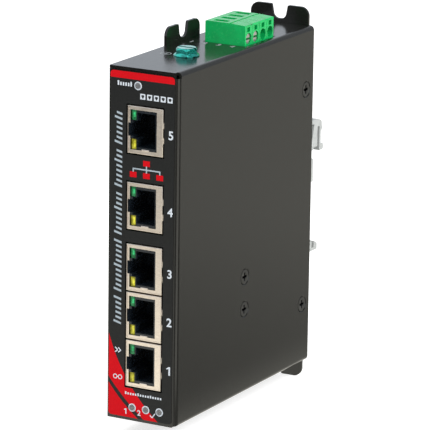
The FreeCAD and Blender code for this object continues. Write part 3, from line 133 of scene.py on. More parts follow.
class JackSettings(bpy.types.PropertyGroup):
    rim: length("Rim", "Width of the raised rim round a shield's face", 0.36)
    recess: length("Recess", "How far the border lies behind the rim", 0.18)
    edge: length("Edge", "Rounding of the shield's edges", 0.06)
    opening: length("Opening", "Right edge of the front opening, from the shield's left side", 11.15)
    border: length("Border", "Metal above and below the front opening", 1.3)
    tin: colour("Tin", "Warm tin plate of the shields", (0.78, 0.69, 0.6))
    insert: colour("Insert", "Black plastic of the sockets", (0.007, 0.0105, 0.015))
    green: colour("Green", "Green indicator", (0.006, 0.15, 0.045))
    yellow: colour("Yellow", "Yellow indicator", (0.27, 0.25, 0.01))


class TerminalSettings(bpy.types.PropertyGroup):
    edge: length("Edge", "Rounding of the housing's edges", 0.16)
    parting: length("Parting", "Width of the lines between the poles", 0.16)
    green: colour("Green", "Green of the housing", (0.004, 0.39, 0.095))
    ground: colour("Ground", "Green of the ground screw", (0.015, 0.42, 0.34))


class StageSettings(bpy.types.PropertyGroup):
    key: FloatProperty(name="Key", description="Power of the large lamp", default=4.7, unit="POWER")
    side: FloatProperty(name="Side", description="Power of the lamp on the right", default=8.0,
                        unit="POWER")
    sky: FloatProperty(name="Sky", description="Strength of the pale surroundings", default=0.7)
    lens: FloatProperty(name="Lens", description="Focal length", default=301.18,
                        subtype="DISTANCE_CAMERA")


# ---- modelling helpers ----

def deselect():
    """Nothing is selected."""
    bpy.ops.object.select_all(action="DESELECT")


def pick(obj):
    """Only this object is selected, and it is active."""
    deselect()
    obj.select_set(True)
    bpy.context.view_layer.objects.active = obj


def named(name):
    """The active object, renamed."""
    obj = bpy.context.active_object
    obj.name = name
    obj.data.name = name
    return obj


def settle(obj):
    """The object's place goes into its mesh."""
    pick(obj)
    bpy.ops.object.transform_apply(location=True, rotation=True, scale=True)


def block(name, low, high):
    """A box between two corners."""
    deselect()
    low = Vector(low)
    high = Vector(high)
    bpy.ops.mesh.primitive_cube_add(size=1, location=(low + high) / 2)
    obj = named(name)
    obj.scale = high - low
    settle(obj)
    return obj


def disc(name, centre, radius, depth, sides=96, turn=FACING_FRONT):
    """A cylinder, or a prism if it has few sides."""
    deselect()
    bpy.ops.mesh.primitive_cylinder_add(vertices=sides, radius=radius, depth=depth, location=centre,
                                        rotation=turn)
    obj = named(name)
    settle(obj)
    return obj


def apply(obj, kind, **values):
    """Adds a modifier with these values and applies it."""
    pick(obj)
    modifier = obj.modifiers.new(kind.title(), kind)
    for key, value in values.items():
        setattr(modifier, key, value)
    bpy.ops.object.modifier_apply(modifier=modifier.name)


def carve(obj, tool, operation="DIFFERENCE"):
    """Cuts with a tool, which is then removed."""
    apply(obj, "BOOLEAN", object=tool, operation=operation, solver="EXACT")
    bpy.data.objects.remove(tool)


def united(name, objects):
    """Several overlapping objects as one solid."""
    for other in objects[1:]:
        carve(objects[0], other, "UNION")
    pick(objects[0])
    return named(name)


def joined(name, objects):
    """Several objects as one."""
    deselect()
    for obj in objects:
        obj.select_set(True)
    bpy.context.view_layer.objects.active = objects[0]
    bpy.ops.object.join()
    return named(name)


def outward(obj):
    """Every face of a solid points outwards."""
    pick(obj)
    bpy.ops.object.mode_set(mode="EDIT")
    bpy.ops.mesh.select_all(action="SELECT")
    bpy.ops.mesh.normals_make_consistent(inside=False)
    bpy.ops.object.mode_set(mode="OBJECT")


def smooth(obj, degrees=35):
    """Smooth shading, apart from sharp edges, with the flat faces kept flat."""
    pick(obj)
    bpy.ops.object.shade_smooth_by_angle(angle=math.radians(degrees))
    apply(obj, "WEIGHTED_NORMAL", keep_sharp=True, weight=100)


def dress(obj, material, body):
    """Gives a piece its material and body."""
    obj.data.materials.clear()
    obj.data.materials.append(material)
    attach(obj, body)


def paint(node, material):
    """A new material on a CAD node."""
    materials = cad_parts[node].data.materials
    if len(materials) == 0:
        materials.append(material)
    for index in range(len(materials)):
        materials[index] = material


def eased(node, name, width, segments=2):
    """A copy of a CAD node with its sharp edges rounded."""
    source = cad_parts[node]
    copy = source.copy()
    copy.data = source.data.copy()
    for key in list(copy.keys()):
        del copy[key]
    copy.parent = None
    bpy.context.scene.collection.objects.link(copy)
    pick(copy)
    named(name)
    bpy.ops.object.mode_set(mode="EDIT")
    bpy.ops.mesh.select_all(action="SELECT")
    bpy.ops.mesh.remove_doubles(threshold=WELD)
    bpy.ops.mesh.dissolve_limited(angle_limit=FLAT)
    bpy.ops.object.mode_set(mode="OBJECT")
    apply(copy, "BEVEL", width=width, segments=segments, limit_method="ANGLE",
          angle_limit=CREASE, use_clamp_overlap=True)
    smooth(copy)
    return copy


def stand_in(node, name, width, material, body, segments=2):
    """A rounded copy that is shown in a CAD node's place."""
    copy = eased(node, name, width, segments)
    dress(copy, material, body)
    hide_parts(node)


def midway(values):
    """Half way between the least and the greatest."""
    return (min(values) + max(values)) / 2


# ---- material helpers ----

class Surface:
    """A node material on Object coordinates, with its shader ready."""

    def __init__(self, name, roughness=0.5, metallic=0.0, level=0.5):
        self.material = bpy.data.materials.new(name)
        self.material.use_nodes = True
        self.tree = self.material.node_tree
        self.shader = self.tree.nodes["Principled BSDF"]
        self.shader.inputs["Roughness"].default_value = roughness
        self.shader.inputs["Metallic"].default_value = metallic
        self.shader.inputs["Specular IOR Level"].default_value = level
        self.coordinates = self.tree.nodes.new("ShaderNodeTexCoord")

    def link(self, source, target):
        """Joins two sockets."""
        self.tree.links.new(source, target)

    def stretched(self, scale):
        """Object coordinates scaled along each axis."""
        mapping = self.tree.nodes.new("ShaderNodeMapping")
        mapping.inputs["Scale"].default_value = scale
        self.link(self.coordinates.outputs["Object"], mapping.inputs["Vector"])
        return mapping.outputs["Vector"]

    def noise(self, per_mm, detail=3.0, stretch=(1, 1, 1), rough=0.5):
        """Noise with this many cells in a millimetre."""
        node = self.tree.nodes.new("ShaderNodeTexNoise")
        node.inputs["Scale"].default_value = per_mm / MM
        node.inputs["Detail"].default_value = detail
        node.inputs["Roughness"].default_value = rough
        self.link(self.stretched(stretch), node.inputs["Vector"])
        return node.outputs["Fac"]

    def spread(self, value, low, high, start=0.3, end=0.7):
        """A value mapped from one range to another."""
        node = self.tree.nodes.new("ShaderNodeMapRange")
        node.inputs["From Min"].default_value = start
        node.inputs["From Max"].default_value = end
        node.inputs["To Min"].default_value = low
        node.inputs["To Max"].default_value = high
        self.link(value, node.inputs["Value"])
        return node.outputs["Result"]

    def mixed(self, value, dark, light):
        """A colour between two, by a value."""
        node = self.tree.nodes.new("ShaderNodeMix")
        node.data_type = "RGBA"
        for socket, paint_colour in ((node.inputs[6], dark), (node.inputs[7], light)):
            if isinstance(paint_colour, bpy.types.NodeSocket):
                self.link(paint_colour, socket)
            else:
                socket.default_value = (*paint_colour, 1)
        self.link(value, node.inputs["Factor"])
        return node.outputs[2]

    def colour(self, value, base, dark=0.8, light=1.2):
        """The base colour, varied by a value."""
        low = [dark * part for part in base]
        high = [min(1, light * part) for part in base]
        self.link(self.mixed(self.spread(value, 0, 1), low, high), self.shader.inputs["Base Color"])

    def roughness(self, value, low, high):
        """Roughness varied by a value."""
        self.link(self.spread(value, low, high), self.shader.inputs["Roughness"])

    def bump(self, value, height, strength):
        """Bump of this height in millimetres."""
        node = self.tree.nodes.new("ShaderNodeBump")
        node.inputs["Strength"].default_value = strength
        node.inputs["Distance"].default_value = height * MM
        self.link(value, node.inputs["Height"])
        self.link(node.outputs["Normal"], self.shader.inputs["Normal"])


# ---- materials ----

def powder_coat():
    """Semi-gloss black powder coat with a fine orange peel."""
    made = Surface("powder_coat")
    base = bpy.context.scene.switch_case.paint
    fine = made.noise(2.2, detail=4)
    made.colour(made.noise(3.5, detail=5, rough=0.7), base, 0.55, 1.6)
    made.roughness(fine, 0.13, 0.22)
    made.bump(fine, 0.004, 0.5)
    return made.material


def label_film():
    """Matt black label film."""
    made = Surface("label_film", level=0.22)
    grain = made.noise(5.0, detail=4)
    made.colour(grain, bpy.context.scene.switch_case.label, 0.7, 1.35)
    made.roughness(made.noise(0.6), 0.5, 0.62)
    made.bump(grain, 0.004, 0.4)
    return made.material


def ink(name, base):
    """Screen-printed ink, a little uneven."""
    made = Surface(name, level=0.1)
    made.colour(made.noise(4.0, detail=4), base, 0.93, 1.06)
    made.roughness(made.noise(0.8), 0.42, 0.55)
    return made.material


def black_screw():
    """Blackened steel, with painted shade: near black in the recess and round the rim."""
    made = Surface("black_screw", metallic=0.85)
    face_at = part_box("side_screws")[1].x
    shaded_below = 0.22 * MM
    unshaded_above = 0.06 * MM
    split = made.tree.nodes.new("ShaderNodeSeparateXYZ")
    made.link(made.coordinates.outputs["Object"], split.inputs["Vector"])
    # painted shade: below the head's face the colour fades to near black, in the cross recess and round
    # the rim
    depth = made.spread(split.outputs["X"], 0, 1, face_at - shaded_below, face_at - unshaded_above)
    face = made.mixed(made.noise(3.0), (0.05, 0.05, 0.048), (0.12, 0.12, 0.115))
    made.link(made.mixed(depth, (0.001, 0.001, 0.001), face), made.shader.inputs["Base Color"])
    made.roughness(made.noise(1.5), 0.3, 0.45)
    return made.material


def plated(name, base, low, high, stretch=(1, 1, 1)):
    """A plated metal with fine drawing marks."""
    made = Surface(name, metallic=1.0)
    grain = made.noise(3.0, detail=5, stretch=stretch)
    made.colour(grain, base, 0.86, 1.1)
    made.roughness(made.noise(1.2, stretch=stretch), low, high)
    made.bump(grain, 0.003, 0.5)
    return made.material


def tin_plate():
    """Warm tin plate of the jack shields."""
    return plated("tin_plate", bpy.context.scene.switch_jack.tin, 0.3, 0.48, stretch=(0.4, 0.4, 2.2))


def moulded(name, base, low, high, level=0.5, dark=0.85, light=1.15):
    """A moulded plastic with faint flow and a fine surface."""
    made = Surface(name, level=level)
    made.colour(made.noise(0.35, detail=4), base, dark, light)
    made.roughness(made.noise(1.1), low, high)
    made.bump(made.noise(6.0, detail=3), 0.004, 0.5)
    return made.material


def indicator(name, base):
    """Clear tinted resin of an indicator, with a painted glow: it emits its colour in patches, though
    the indicator is not lit.
    """
    made = Surface(name, level=0.3)
    bright = made.noise(0.9, detail=2)
    glow = made.mixed(made.spread(bright, 0, 1, 0.35, 0.65), [0.65 * part for part in base],
                      [min(1, 1.3 * part + 0.02) for part in base])
    made.link(glow, made.shader.inputs["Base Color"])
    # painted glow: the resin emits its own colour, though the indicator is not lit
    made.link(glow, made.shader.inputs["Emission Color"])
    made.shader.inputs["Emission Strength"].default_value = 0.15
    made.roughness(made.noise(2.0), 0.12, 0.25)
    return made.material


def light_guide():
    """Frosted clear light pipe."""
    made = Surface("light_guide")
    made.colour(made.noise(1.5), (0.16, 0.165, 0.17), 0.8, 1.3)
    made.roughness(made.noise(3.0), 0.2, 0.4)
    made.shader.inputs["Transmission Weight"].default_value = 0.25
    return made.material


def ground_plate():
    """Green passivated steel, glossy and a little cloudy."""
    made = Surface("ground_plate", metallic=1.0)
    cloud = made.noise(0.5, detail=4)
    made.colour(cloud, bpy.context.scene.switch_terminal.ground, 0.55, 1.6)
    made.roughness(made.noise(1.2), 0.12, 0.28)
    made.bump(made.noise(1.1), 0.05, 0.8)
    made.shader.inputs["Coat Weight"].default_value = 0.8
    made.shader.inputs["Coat Roughness"].default_value = 0.06
    return made.material


def solder_resist():
    """Green board with paler copper tracks under the resist."""
    made = Surface("solder_resist")
    tracks = made.tree.nodes.new("ShaderNodeTexBrick")
    tracks.inputs["Scale"].default_value = 0.35 / MM
    tracks.inputs["Mortar Size"].default_value = 0.09
    turned = made.tree.nodes.new("ShaderNodeMapping")
    turned.inputs["Rotation"].default_value = (math.pi / 2, 0, math.pi / 2)
    made.link(made.coordinates.outputs["Object"], turned.inputs["Vector"])
    made.link(turned.outputs["Vector"], tracks.inputs["Vector"])
    patch = made.spread(made.noise(0.08, detail=2), 0, 1, 0.45, 0.55)
    both = made.tree.nodes.new("ShaderNodeMath")
    both.operation = "MULTIPLY"
    made.link(tracks.outputs["Fac"], both.inputs[0])
    made.link(patch, both.inputs[1])
    face = made.mixed(both.outputs["Value"], (0.012, 0.11, 0.045), (0.03, 0.22, 0.09))
    made.link(face, made.shader.inputs["Base Color"])
    made.roughness(made.noise(1.0), 0.25, 0.4)
    made.bump(both.outputs["Value"], 0.02, 0.5)
    return made.material


# ---- the label's print ----

def on_label(x, z):
    """A point on the label's face, from the case's lower left corner."""
    return Vector((CASE.x + x, LABEL_FACE, CASE.z + z))


def film(name, low, high, proud=MARK):
    """A thin printed rectangle on the label, given its lower left and upper right corners."""
    return block(name, (low.x, LABEL_FACE - proud, low.z), (high.x, LABEL_FACE + proud, high.z))


def printed(obj, material):
    """A finished mark on the label."""
    dress(obj, material, "case")


def round_corner(obj, x, z):
    """Rounds a printed field where it lies at a corner of the label."""

    def at_corner(vertex):
        return abs(vertex.co.x - x) < INK and abs(vertex.co.z - z) < INK

    pick(obj)
    for edge in obj.data.edges:
        edge.select = all(at_corner(obj.data.vertices[index]) for index in edge.vertices)
    for vertex in obj.data.vertices:
        vertex.select = at_corner(vertex)
    for face in obj.data.polygons:
        face.select = False
    bpy.ops.object.mode_set(mode="EDIT")
    bpy.ops.mesh.bevel(offset=LABEL_CORNER, segments=10, affect="EDGES")
    bpy.ops.object.mode_set(mode="OBJECT")


def bowed_disc(start, end, sag):
    """A large disc whose rim runs from start to end and bows towards the lower left by sag."""
    chord = end - start
    half = chord.length / 2
    radius = (half * half + sag * sag) / (2 * sag)
    away = Vector((-chord.z, 0, chord.x)).normalized()
    centre = (start + end) / 2 + away * (radius - sag)
    return disc("bow", centre, radius, THROUGH, sides=720)


def red_band(material):
    """The red band along the label's upper edge."""
    low = Vector((LABEL_LOW.x, 0, LABEL_HIGH.z - bpy.context.scene.switch_print.band))
    band = film("label_red_band", low, LABEL_HIGH, INK)
    for x in (LABEL_LOW.x, LABEL_HIGH.x):
        round_corner(band, x, LABEL_HIGH.z)
    printed(band, material)


def red_sweep(material):
    """The red field in the lower left corner, with the dark stripe left out of it."""
    settings = bpy.context.scene.switch_print
    corner = Vector((LABEL_LOW.x, LABEL_FACE, LABEL_LOW.z))
    field = film("label_red_sweep", corner,
                 corner + Vector((settings.sweep_run, 0, settings.sweep_rise)), INK)
    round_corner(field, corner.x, corner.z)

    def bow(rise, run, sag):
        """A disc whose rim runs from the label's left edge to its lower edge."""
        return bowed_disc(corner + Vector((0, 0, rise)), corner + Vector((run, 0, 0)), sag)

    carve(field, bow(settings.sweep_rise, settings.sweep_run, settings.sweep_sag))
    up_the_edge = settings.stripe_width * 1.3
    along_the_foot = settings.stripe_width * 1.45
    stripe = bow(settings.stripe_rise - up_the_edge, settings.stripe_run - along_the_foot,
                 settings.stripe_sag)
    carve(stripe, bow(settings.stripe_rise, settings.stripe_run, settings.stripe_sag))
    carve(field, stripe)
    for name in PIPES[:3]:
        carve(field, disc("ring_room", pipe_middle(name), RING, THROUGH))
    low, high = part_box("jack_shield_1")
    gap = 0.5 * MM
    carve(field, block("window", (low.x - gap, LABEL_FACE - THROUGH / 2, low.z - gap),
                       (high.x + gap, LABEL_FACE + THROUGH / 2, high.z + gap)))
    printed(field, material)


def pipe_middle(name):
    """The middle of a light pipe's front face."""
    points = [vertex.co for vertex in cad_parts[name].data.vertices]
    skin = 0.05 * MM
    front = min(point.y for point in points)
    rim = [point for point in points if point.y < front + skin]
    return Vector((midway([point.x for point in rim]), LABEL_FACE, midway([point.z for point in rim])))


def words(name, text, size, middle, turn=FACING_FRONT):
    """Plain characters as a thin raised mesh, centred on a point."""
    deselect()
    bpy.ops.object.text_add(location=middle, rotation=turn)
    obj = bpy.context.active_object
    obj.data.body = text
    obj.data.size = size
    obj.data.extrude = MARK
    obj.data.offset = BOLD * size
    obj.data.align_x = "CENTER"
    obj.data.align_y = "CENTER"
    bpy.ops.object.convert(target="MESH")
    obj = named(name)
    settle(obj)
    return obj


def figure(name, number, tall, middle):
    """A number on the label; a one is drawn as a stem with a flag."""
    if number != 1:
        return words(name, str(number), tall / FIGURE_SHARE, middle)
    rise = Vector((0, 0, tall / 2))
    stem_width = Vector((tall * 0.2, 0, 0))
    stem = film("stem", middle - rise, middle + stem_width + rise)
    flag_start = middle + rise + Vector((-tall * 0.27, 0, -tall * 0.26))
    flag_end = middle + rise + Vector((tall * 0.03, 0, -tall * 0.09))
    return united(name, [stem, strip("flag", flag_start, flag_end, tall * 0.075)])


def port_numbers(material):
    """The numbers 1 to 5, each beside its jack."""
    tall = bpy.context.scene.switch_print.number
    beside = 2.6 * MM
    below = 0.5 * MM
    for number in JACKS:
        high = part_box("jack_shield_%d" % number)[1]
        corner = jack_corner(number)
        middle = Vector((high.x + beside, LABEL_FACE, corner.z + SHIELD_HEIGHT / 2 - below))
        printed(figure("port_number_%d" % number, number, tall, middle), material)


def lay(obj, start, along, slant=0.0):
    """Lays a flat piece on the label from a point, with its length along a direction."""
    up = Vector((0, -1, 0)).cross(along)
    for vertex in obj.data.vertices:
        flat = vertex.co.copy()
        vertex.co = start + along * (flat.x + slant * flat.z) + up * flat.z + Vector((0, flat.y, 0))


def slanted_bars(name, count, start, step, width, height, slant):
    """A row of slanted bars from a lower left corner, every fifth one longer."""
    longer = 1.35
    bars = []
    for number in range(count):
        tall = height * (longer if number % 5 == 0 else 1.0)
        bar = block("bar", (0, -MARK, 0), (width, MARK, tall))
        lay(bar, start + step * number, step.normalized(), slant)
        bars.append(bar)
    row = joined(name, bars)
    outward(row)
    return row


def upright_bars(material):
    """The groups of slanted bars that run up beside the jacks."""
    groups = [6, 11, 9, 8, 7]
    pitch = 1.68 * MM
    space = 1.25 * MM
    foot = 33.3 * MM
    for index, count in enumerate(groups, start=1):
        row = slanted_bars("label_bars_%d" % index, count, on_label(5.2 * MM, foot),
                           Vector((0, 0, pitch)), width=0.72 * MM, height=2.15 * MM, slant=0.25)
        printed(row, material)
        foot += count * pitch + space


def small_dashes(material):
    """Short dashes in place of small print."""
    rows = [("status_dashes", 6, on_label(3.3 * MM, 115.6 * MM), 0.98 * MM, 1.15 * MM),
            ("foot_dashes", 15, on_label(7.0 * MM, 9.1 * MM), 0.97 * MM, 0.72 * MM)]
    for name, count, start, pitch, height in rows:
        row = slanted_bars(name, count, start, Vector((pitch, 0, 0)), width=0.55 * MM, height=height,
                           slant=0.0)
        printed(row, material)


def port_pictograms(material):
    """Five small sockets in a row over the jacks."""
    size = 1.9 * MM
    wall = 0.4 * MM
    half = 0.3 * MM
    sockets = []
    for number in range(len(JACKS)):
        low = on_label((12.0 + 2.6 * number) * MM, 111.7 * MM)
        socket = film("socket", low, low + Vector((size, 0, size)))
        carve(socket, film("room", low + Vector((wall, 0, 0.75 * MM)),
                           Vector((low.x + size - wall, 0, low.z + size - wall)), MM))
        middle = low.x + size / 2
        carve(socket, film("notch", Vector((middle - half, 0, low.z + 0.35 * MM)),
                           Vector((middle + half, 0, low.z + MM)), MM))
        sockets.append(socket)
    printed(joined("port_pictograms", sockets), material)


def network_mark(red, pale):
    """A plain network sign between the two upper jacks: one box joined to three."""
    low = on_label(8.2 * MM, 84.9 * MM)
    box = Vector((2.6 * MM, 0, 1.9 * MM))
    step = 5.1 * MM
    top = low + Vector((step, 0, 4.2 * MM))
    corners = [low + Vector((step * n, 0, 0)) for n in range(3)] + [top]
    printed(joined("network_boxes", [film("box", corner, corner + box) for corner in corners]), red)
    half = 0.22 * MM
    level = low.z + 3.0 * MM
    left, middle, right = [low.x + step * n + box.x / 2 for n in range(3)]

    def line(start, foot, end, head):
        """A line of the sign, with half its thickness added at the left and the right."""
        return film("line", Vector((start - half, 0, foot)), Vector((end + half, 0, head)))

    lines = [line(left, level - half, right, level + half)]
    for x in (left, middle, right):
        lines.append(line(x, low.z + box.z, x, level - half))
    lines.append(line(middle, level + half, middle, top.z))
    printed(joined("network_lines", lines), pale)


def ring(name, middle, outer, inner):
    """A thin printed ring."""
    made = disc(name, middle, outer, 2 * MARK)
    carve(made, disc("bore", middle, inner, THROUGH))
    return made


def light_marks(material):
    """Rings round the lights, and a small mark beside each lower one."""
    for name, mark in zip(PIPES, ("1", "2", "tick", "")):
        middle = pipe_middle(name)
        printed(ring("ring_" + name, middle, RING, 1.02 * MM), material)
        beside = middle + Vector((-2.6 * MM, 0, -1.6 * MM))
        if mark == "tick":
            printed(tick_mark("mark_" + name, beside), material)
        elif mark:
            printed(figure("mark_" + name, int(mark), 1.9 * MM, beside), material)


def strip(name, start, end, half):
    """A thin straight line of print between two points."""
    run = end - start
    made = block(name, (0, -MARK, -half), (run.length, MARK, half))
    lay(made, start, run.normalized())
    outward(made)
    return made


def tick_mark(name, middle):
    """A tick of two arms."""
    half = 0.17 * MM
    foot = middle + Vector((-0.2 * MM, 0, -0.75 * MM))
    return united(name, [strip("arm", middle + Vector((-1.0 * MM, 0, 0)), foot, half),
                         strip("arm", foot, middle + Vector((1.0 * MM, 0, 0.85 * MM)), half)])


def lower_left_marks(material):
    """Two chevrons beside the upper indicator and a link beside the lower one."""
    at = on_label(3.0 * MM, 24.2 * MM)
    chevrons = []
    for shift in (0, 1.2):
        tip = at + Vector(((shift + 1.0) * MM, 0, 0))
        arms = [strip("arm", at + Vector((shift * MM, 0, rise * MM)), tip, 0.19 * MM)
                for rise in (-0.85, 0.85)]
        chevrons.append(united("chevron", arms))
    printed(joined("speed_mark", chevrons), material)
    link = on_label(3.1 * MM, 14.8 * MM)
    parts = [ring("loop", link + Vector((shift * MM, 0, 0)), 0.85 * MM, 0.55 * MM) for shift in (0, 1.9)]
    parts.append(strip("bar", link + Vector((0.6 * MM, 0, 0)), link + Vector((1.3 * MM, 0, 0)),
                       0.16 * MM))
    printed(united("link_mark", parts), material)


class PrintLabel(bpy.types.Operator):
    """Prints the label's fields, marks and numbers"""

    bl_idname = "switch.print_label"
    bl_label = "Print label"

    def execute(self, context):
        settings = context.scene.switch_print
        red = ink("red_ink", settings.red)
        pale = ink("pale_ink", settings.pale)
        white = ink("white_ink", settings.white)
        paint("front_label", label_film())
        red_band(red)
        red_sweep(red)
        port_numbers(white)
        upright_bars(pale)
        small_dashes(white)
        port_pictograms(white)
        network_mark(red, pale)
        light_marks(white)
        lower_left_marks(white)
        return {"FINISHED"}


# ---- case ----

def top_marks(material):
    """The earth sign and the pole numbers, printed on the case's top."""
    centre = Vector((CASE.x + 6.7 * MM, CASE.y + 25.7 * MM, CASE_TOP))
    half = 0.09 * MM
    sign = disc("earth_sign", centre, 1.95 * MM, 2 * INK, sides=64, turn=FACING_UP)
    carve(sign, disc("room", centre, 1.65 * MM, MM, sides=64, turn=FACING_UP))
    pieces = [sign]
    for index, reach in enumerate((1.1 * MM, 0.7 * MM, 0.3 * MM)):
        y = centre.y - (0.1 + 0.42 * index) * MM
        pieces.append(block("bar", (centre.x - reach, y - half, CASE_TOP - INK),
                            (centre.x + reach, y + half, CASE_TOP + INK)))
    pieces.append(block("stem", (centre.x - 0.1 * MM, centre.y, CASE_TOP - INK),
                        (centre.x + 0.1 * MM, centre.y + 1.2 * MM, CASE_TOP + INK)))
    dress(joined("earth_sign", pieces), material, "case")
    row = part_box("terminal_plug")[0].y - 3.0 * MM
    for number in POLES:
        middle = Vector((CASE.x + (5.3 * number - 1.2) * MM, row, CASE_TOP))
        digit = words("pole_number_%d" % number, str(number), 3.2 * MM, middle, FACING_UP)
        dress(digit, material, "case")


def head_middles():
    """The middles of the side screws' heads."""
    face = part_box("side_screws")[1].x
    skin = 0.1 * MM
    head = 6 * MM
    groups = []
    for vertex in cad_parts["side_screws"].data.vertices:
        if vertex.co.x < face - skin:
            continue
        near = [group for group in groups if (group[0] - vertex.co).length < head]
        if near:
            near[0].append(vertex.co.copy())
        else:
            groups.append([vertex.co.copy()])
    return [Vector((face, midway([point.y for point in group]), midway([point.z for point in group])))
            for group in groups]


def side_screws(settings, material):
    """The countersunk screws, with the middle of each cross recess opened out."""
    screws = eased("side_screws", "side_screws_finish", settings.screw_edge)
    for middle in head_middles():
        carve(screws, disc("flare", middle, settings.flare, 1.7 * MM, sides=4, turn=FACING_RIGHT))
    dress(screws, material, "case")
    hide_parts("side_screws")


class FinishCase(bpy.types.Operator):
    """Finishes the folded case, its screws and its top print"""

    bl_idname = "switch.finish_case"
    bl_label = "Finish case"

    def execute(self, context):
        settings = context.scene.switch_case
        coat = powder_coat()
        stand_in("cover", "cover_finish", settings.edge, coat, "case")
        stand_in("chassis", "chassis_finish", settings.edge, coat, "case")
        side_screws(settings, black_screw())
        top_marks(ink("top_ink", (0.3, 0.32, 0.34)))
        return {"FINISHED"}


# ---- jacks ----

def jack_corner(number):
    """The lower left corner of a shield's front face."""
    low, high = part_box("jack_insert_%d" % number)
    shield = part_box("jack_shield_%d" % number)[0]
    return Vector((shield.x, shield.y, (low.z + high.z - SHIELD_HEIGHT) / 2))


def shell(number, material):
    """A shield with a raised rim round its front, a wider opening and a lip under the socket."""
    settings = bpy.context.scene.switch_jack
    node = "jack_shield_%d" % number
    made = eased(node, "jack_shell_%d" % number, settings.edge)
    corner = jack_corner(number)
    rim = settings.rim
    carve(made, block("recess", corner + Vector((rim, -MM, rim)),
                      corner + Vector((SHIELD_WIDTH - rim, settings.recess, SHIELD_HEIGHT - rim))))
    carve(made, block("opening", corner + Vector((settings.opening - MM, -MM, settings.border)),
                      corner + Vector((settings.opening, MM, SHIELD_HEIGHT - settings.border))))
    dress(made, material, "case")
    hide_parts(node)
    lip_low = corner + Vector((5.4 * MM, 0.02 * MM, 1.1 * MM))
    lip_high = corner + Vector((8.3 * MM, 0.6 * MM, 1.75 * MM))
    lip = block("jack_lip_%d" % number, lip_low, lip_high)
    apply(lip, "BEVEL", width=0.2 * MM, segments=3)
    smooth(lip)
    dress(lip, material, "case")


def indicator_light(number, kind, resin, chip, low, high):
    """A rounded lens and a bright core inside it, painted as a glow, which spans two points counted from
    the lens's corner.
    """
    node = "jack_%s_light_%d" % (kind, number)
    stand_in(node, "jack_%s_lens_%d" % (kind, number), 0.12 * MM, resin, "case", segments=3)
    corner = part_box(node)[0]
    # painted glow: a bright emitting block inside the lens, though the indicator is not lit
    core = block("jack_%s_core_%d" % (kind, number),
                 corner + Vector((low[0] * MM, -0.03 * MM, low[1] * MM)),
                 corner + Vector((high[0] * MM, 0.3 * MM, high[1] * MM)))
    apply(core, "BEVEL", width=0.36 * MM, segments=5)
    smooth(core, 60)
    dress(core, chip, "case")


class FinishJacks(bpy.types.Operator):
    """Finishes the five jacks and their indicators"""

    bl_idname = "switch.finish_jacks"
    bl_label = "Finish jacks"

    def execute(self, context):
        settings = context.scene.switch_jack
        tin = tin_plate()
        black = moulded("insert_plastic", settings.insert, 0.16, 0.32)
        gold = plated("gold_plate", (0.83, 0.6, 0.22), 0.18, 0.3)
        green = indicator("green_resin", settings.green)
        yellow = indicator("yellow_resin", settings.yellow)
        # painted glow: bright emitting colours for the cores inside the lenses
        glowing_green = indicator("green_core_glow", (0.02, 0.42, 0.13))
        glowing_yellow = indicator("yellow_core_glow", (0.55, 0.52, 0.03))
        for number in JACKS:
            shell(number, tin)
            paint("jack_insert_%d" % number, black)
            paint("jack_contacts_%d" % number, gold)
            indicator_light(number, "green", green, glowing_green, (0.85, 1.0), (1.7, 2.7))
            indicator_light(number, "yellow", yellow, glowing_yellow, (0.95, 0.5), (1.9, 3.0))
        return {"FINISHED"}


# ---- terminal ----

def housing(material):
    """The green plug with rounded edges and fine lines between its poles."""
    settings = bpy.context.scene.switch_terminal
    plug = eased("terminal_plug", "terminal_housing", settings.edge, segments=3)
    low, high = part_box("terminal_plug")
    start = midway([corner.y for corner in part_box("terminal_screw_1")])
    pitch = midway([corner.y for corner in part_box("terminal_screw_2")]) - start
    half = settings.parting / 2
    ridge = low.x + 9.4 * MM
    fall = 0.5 * MM
    for number in range(len(POLES) - 1):
        y = start + pitch * (number + 0.5)
        carve(plug, block("line", (high.x - 2 * half, y - half, low.z - MM),
                          (high.x + MM, y + half, high.z + MM)))
        line = block("line", (ridge, y - half, high.z - 2 * half), (high.x + MM, y + half, high.z + MM))
        for vertex in line.data.vertices:
            if vertex.co.x > high.x and vertex.co.z < high.z:
                vertex.co.z -= fall
        carve(plug, line)
    smooth(plug)
    dress(plug, material, "terminal_plug")
    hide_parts("terminal_plug")


class FinishTerminal(bpy.types.Operator):
    """Finishes the power terminal and the ground screw"""

    bl_idname = "switch.finish_terminal"
    bl_label = "Finish terminal"

    def execute(self, context):
        settings = context.scene.switch_terminal
        green = moulded("terminal_plastic", settings.green, 0.2, 0.3, level=0.4, dark=0.9, light=1.12)
        shader = green.node_tree.nodes["Principled BSDF"]
        shader.inputs["Subsurface Weight"].default_value = 0.08
        shader.inputs["Subsurface Scale"].default_value = 0.5 * MM
        housing(green)
        paint("terminal_header", green)
        brass = plated("clamp_plate", (0.72, 0.62, 0.42), 0.3, 0.45)
        steel = plated("bright_steel", (0.78, 0.78, 0.77), 0.2, 0.34)
        paint("clamp_frames", brass)
        paint("header_pins", plated("pin_plate", (0.75, 0.73, 0.68), 0.25, 0.4))
        for number in POLES:
            paint("wire_clamp_%d" % number, brass)
            node = "terminal_screw_%d" % number
            stand_in(node, "clamp_screw_%d" % number, 0.08 * MM, steel, node)
        stand_in("ground_screw", "ground_screw_finish", 0.16 * MM, ground_plate(), "case", segments=3)
        return {"FINISHED"}


# ---- clip and inner pieces ----

class FinishClip(bpy.types.Operator):
    """Finishes the rail clip and its screws"""

    bl_idname = "switch.finish_clip"
    bl_label = "Finish clip"

    def execute(self, context):
        grey = moulded("clip_plastic", (0.42, 0.435, 0.425), 0.35, 0.5, dark=0.92, light=1.06)
        stand_in("din_clip", "din_clip_finish", 0.2 * MM, grey, "case", segments=3)
        zinc = plated("zinc_plate", (0.66, 0.66, 0.64), 0.3, 0.5)
        for node in ("din_clip_screws", "board_screws", "board_standoffs", "press_nuts"):
            paint(node, zinc)
        return {"FINISHED"}


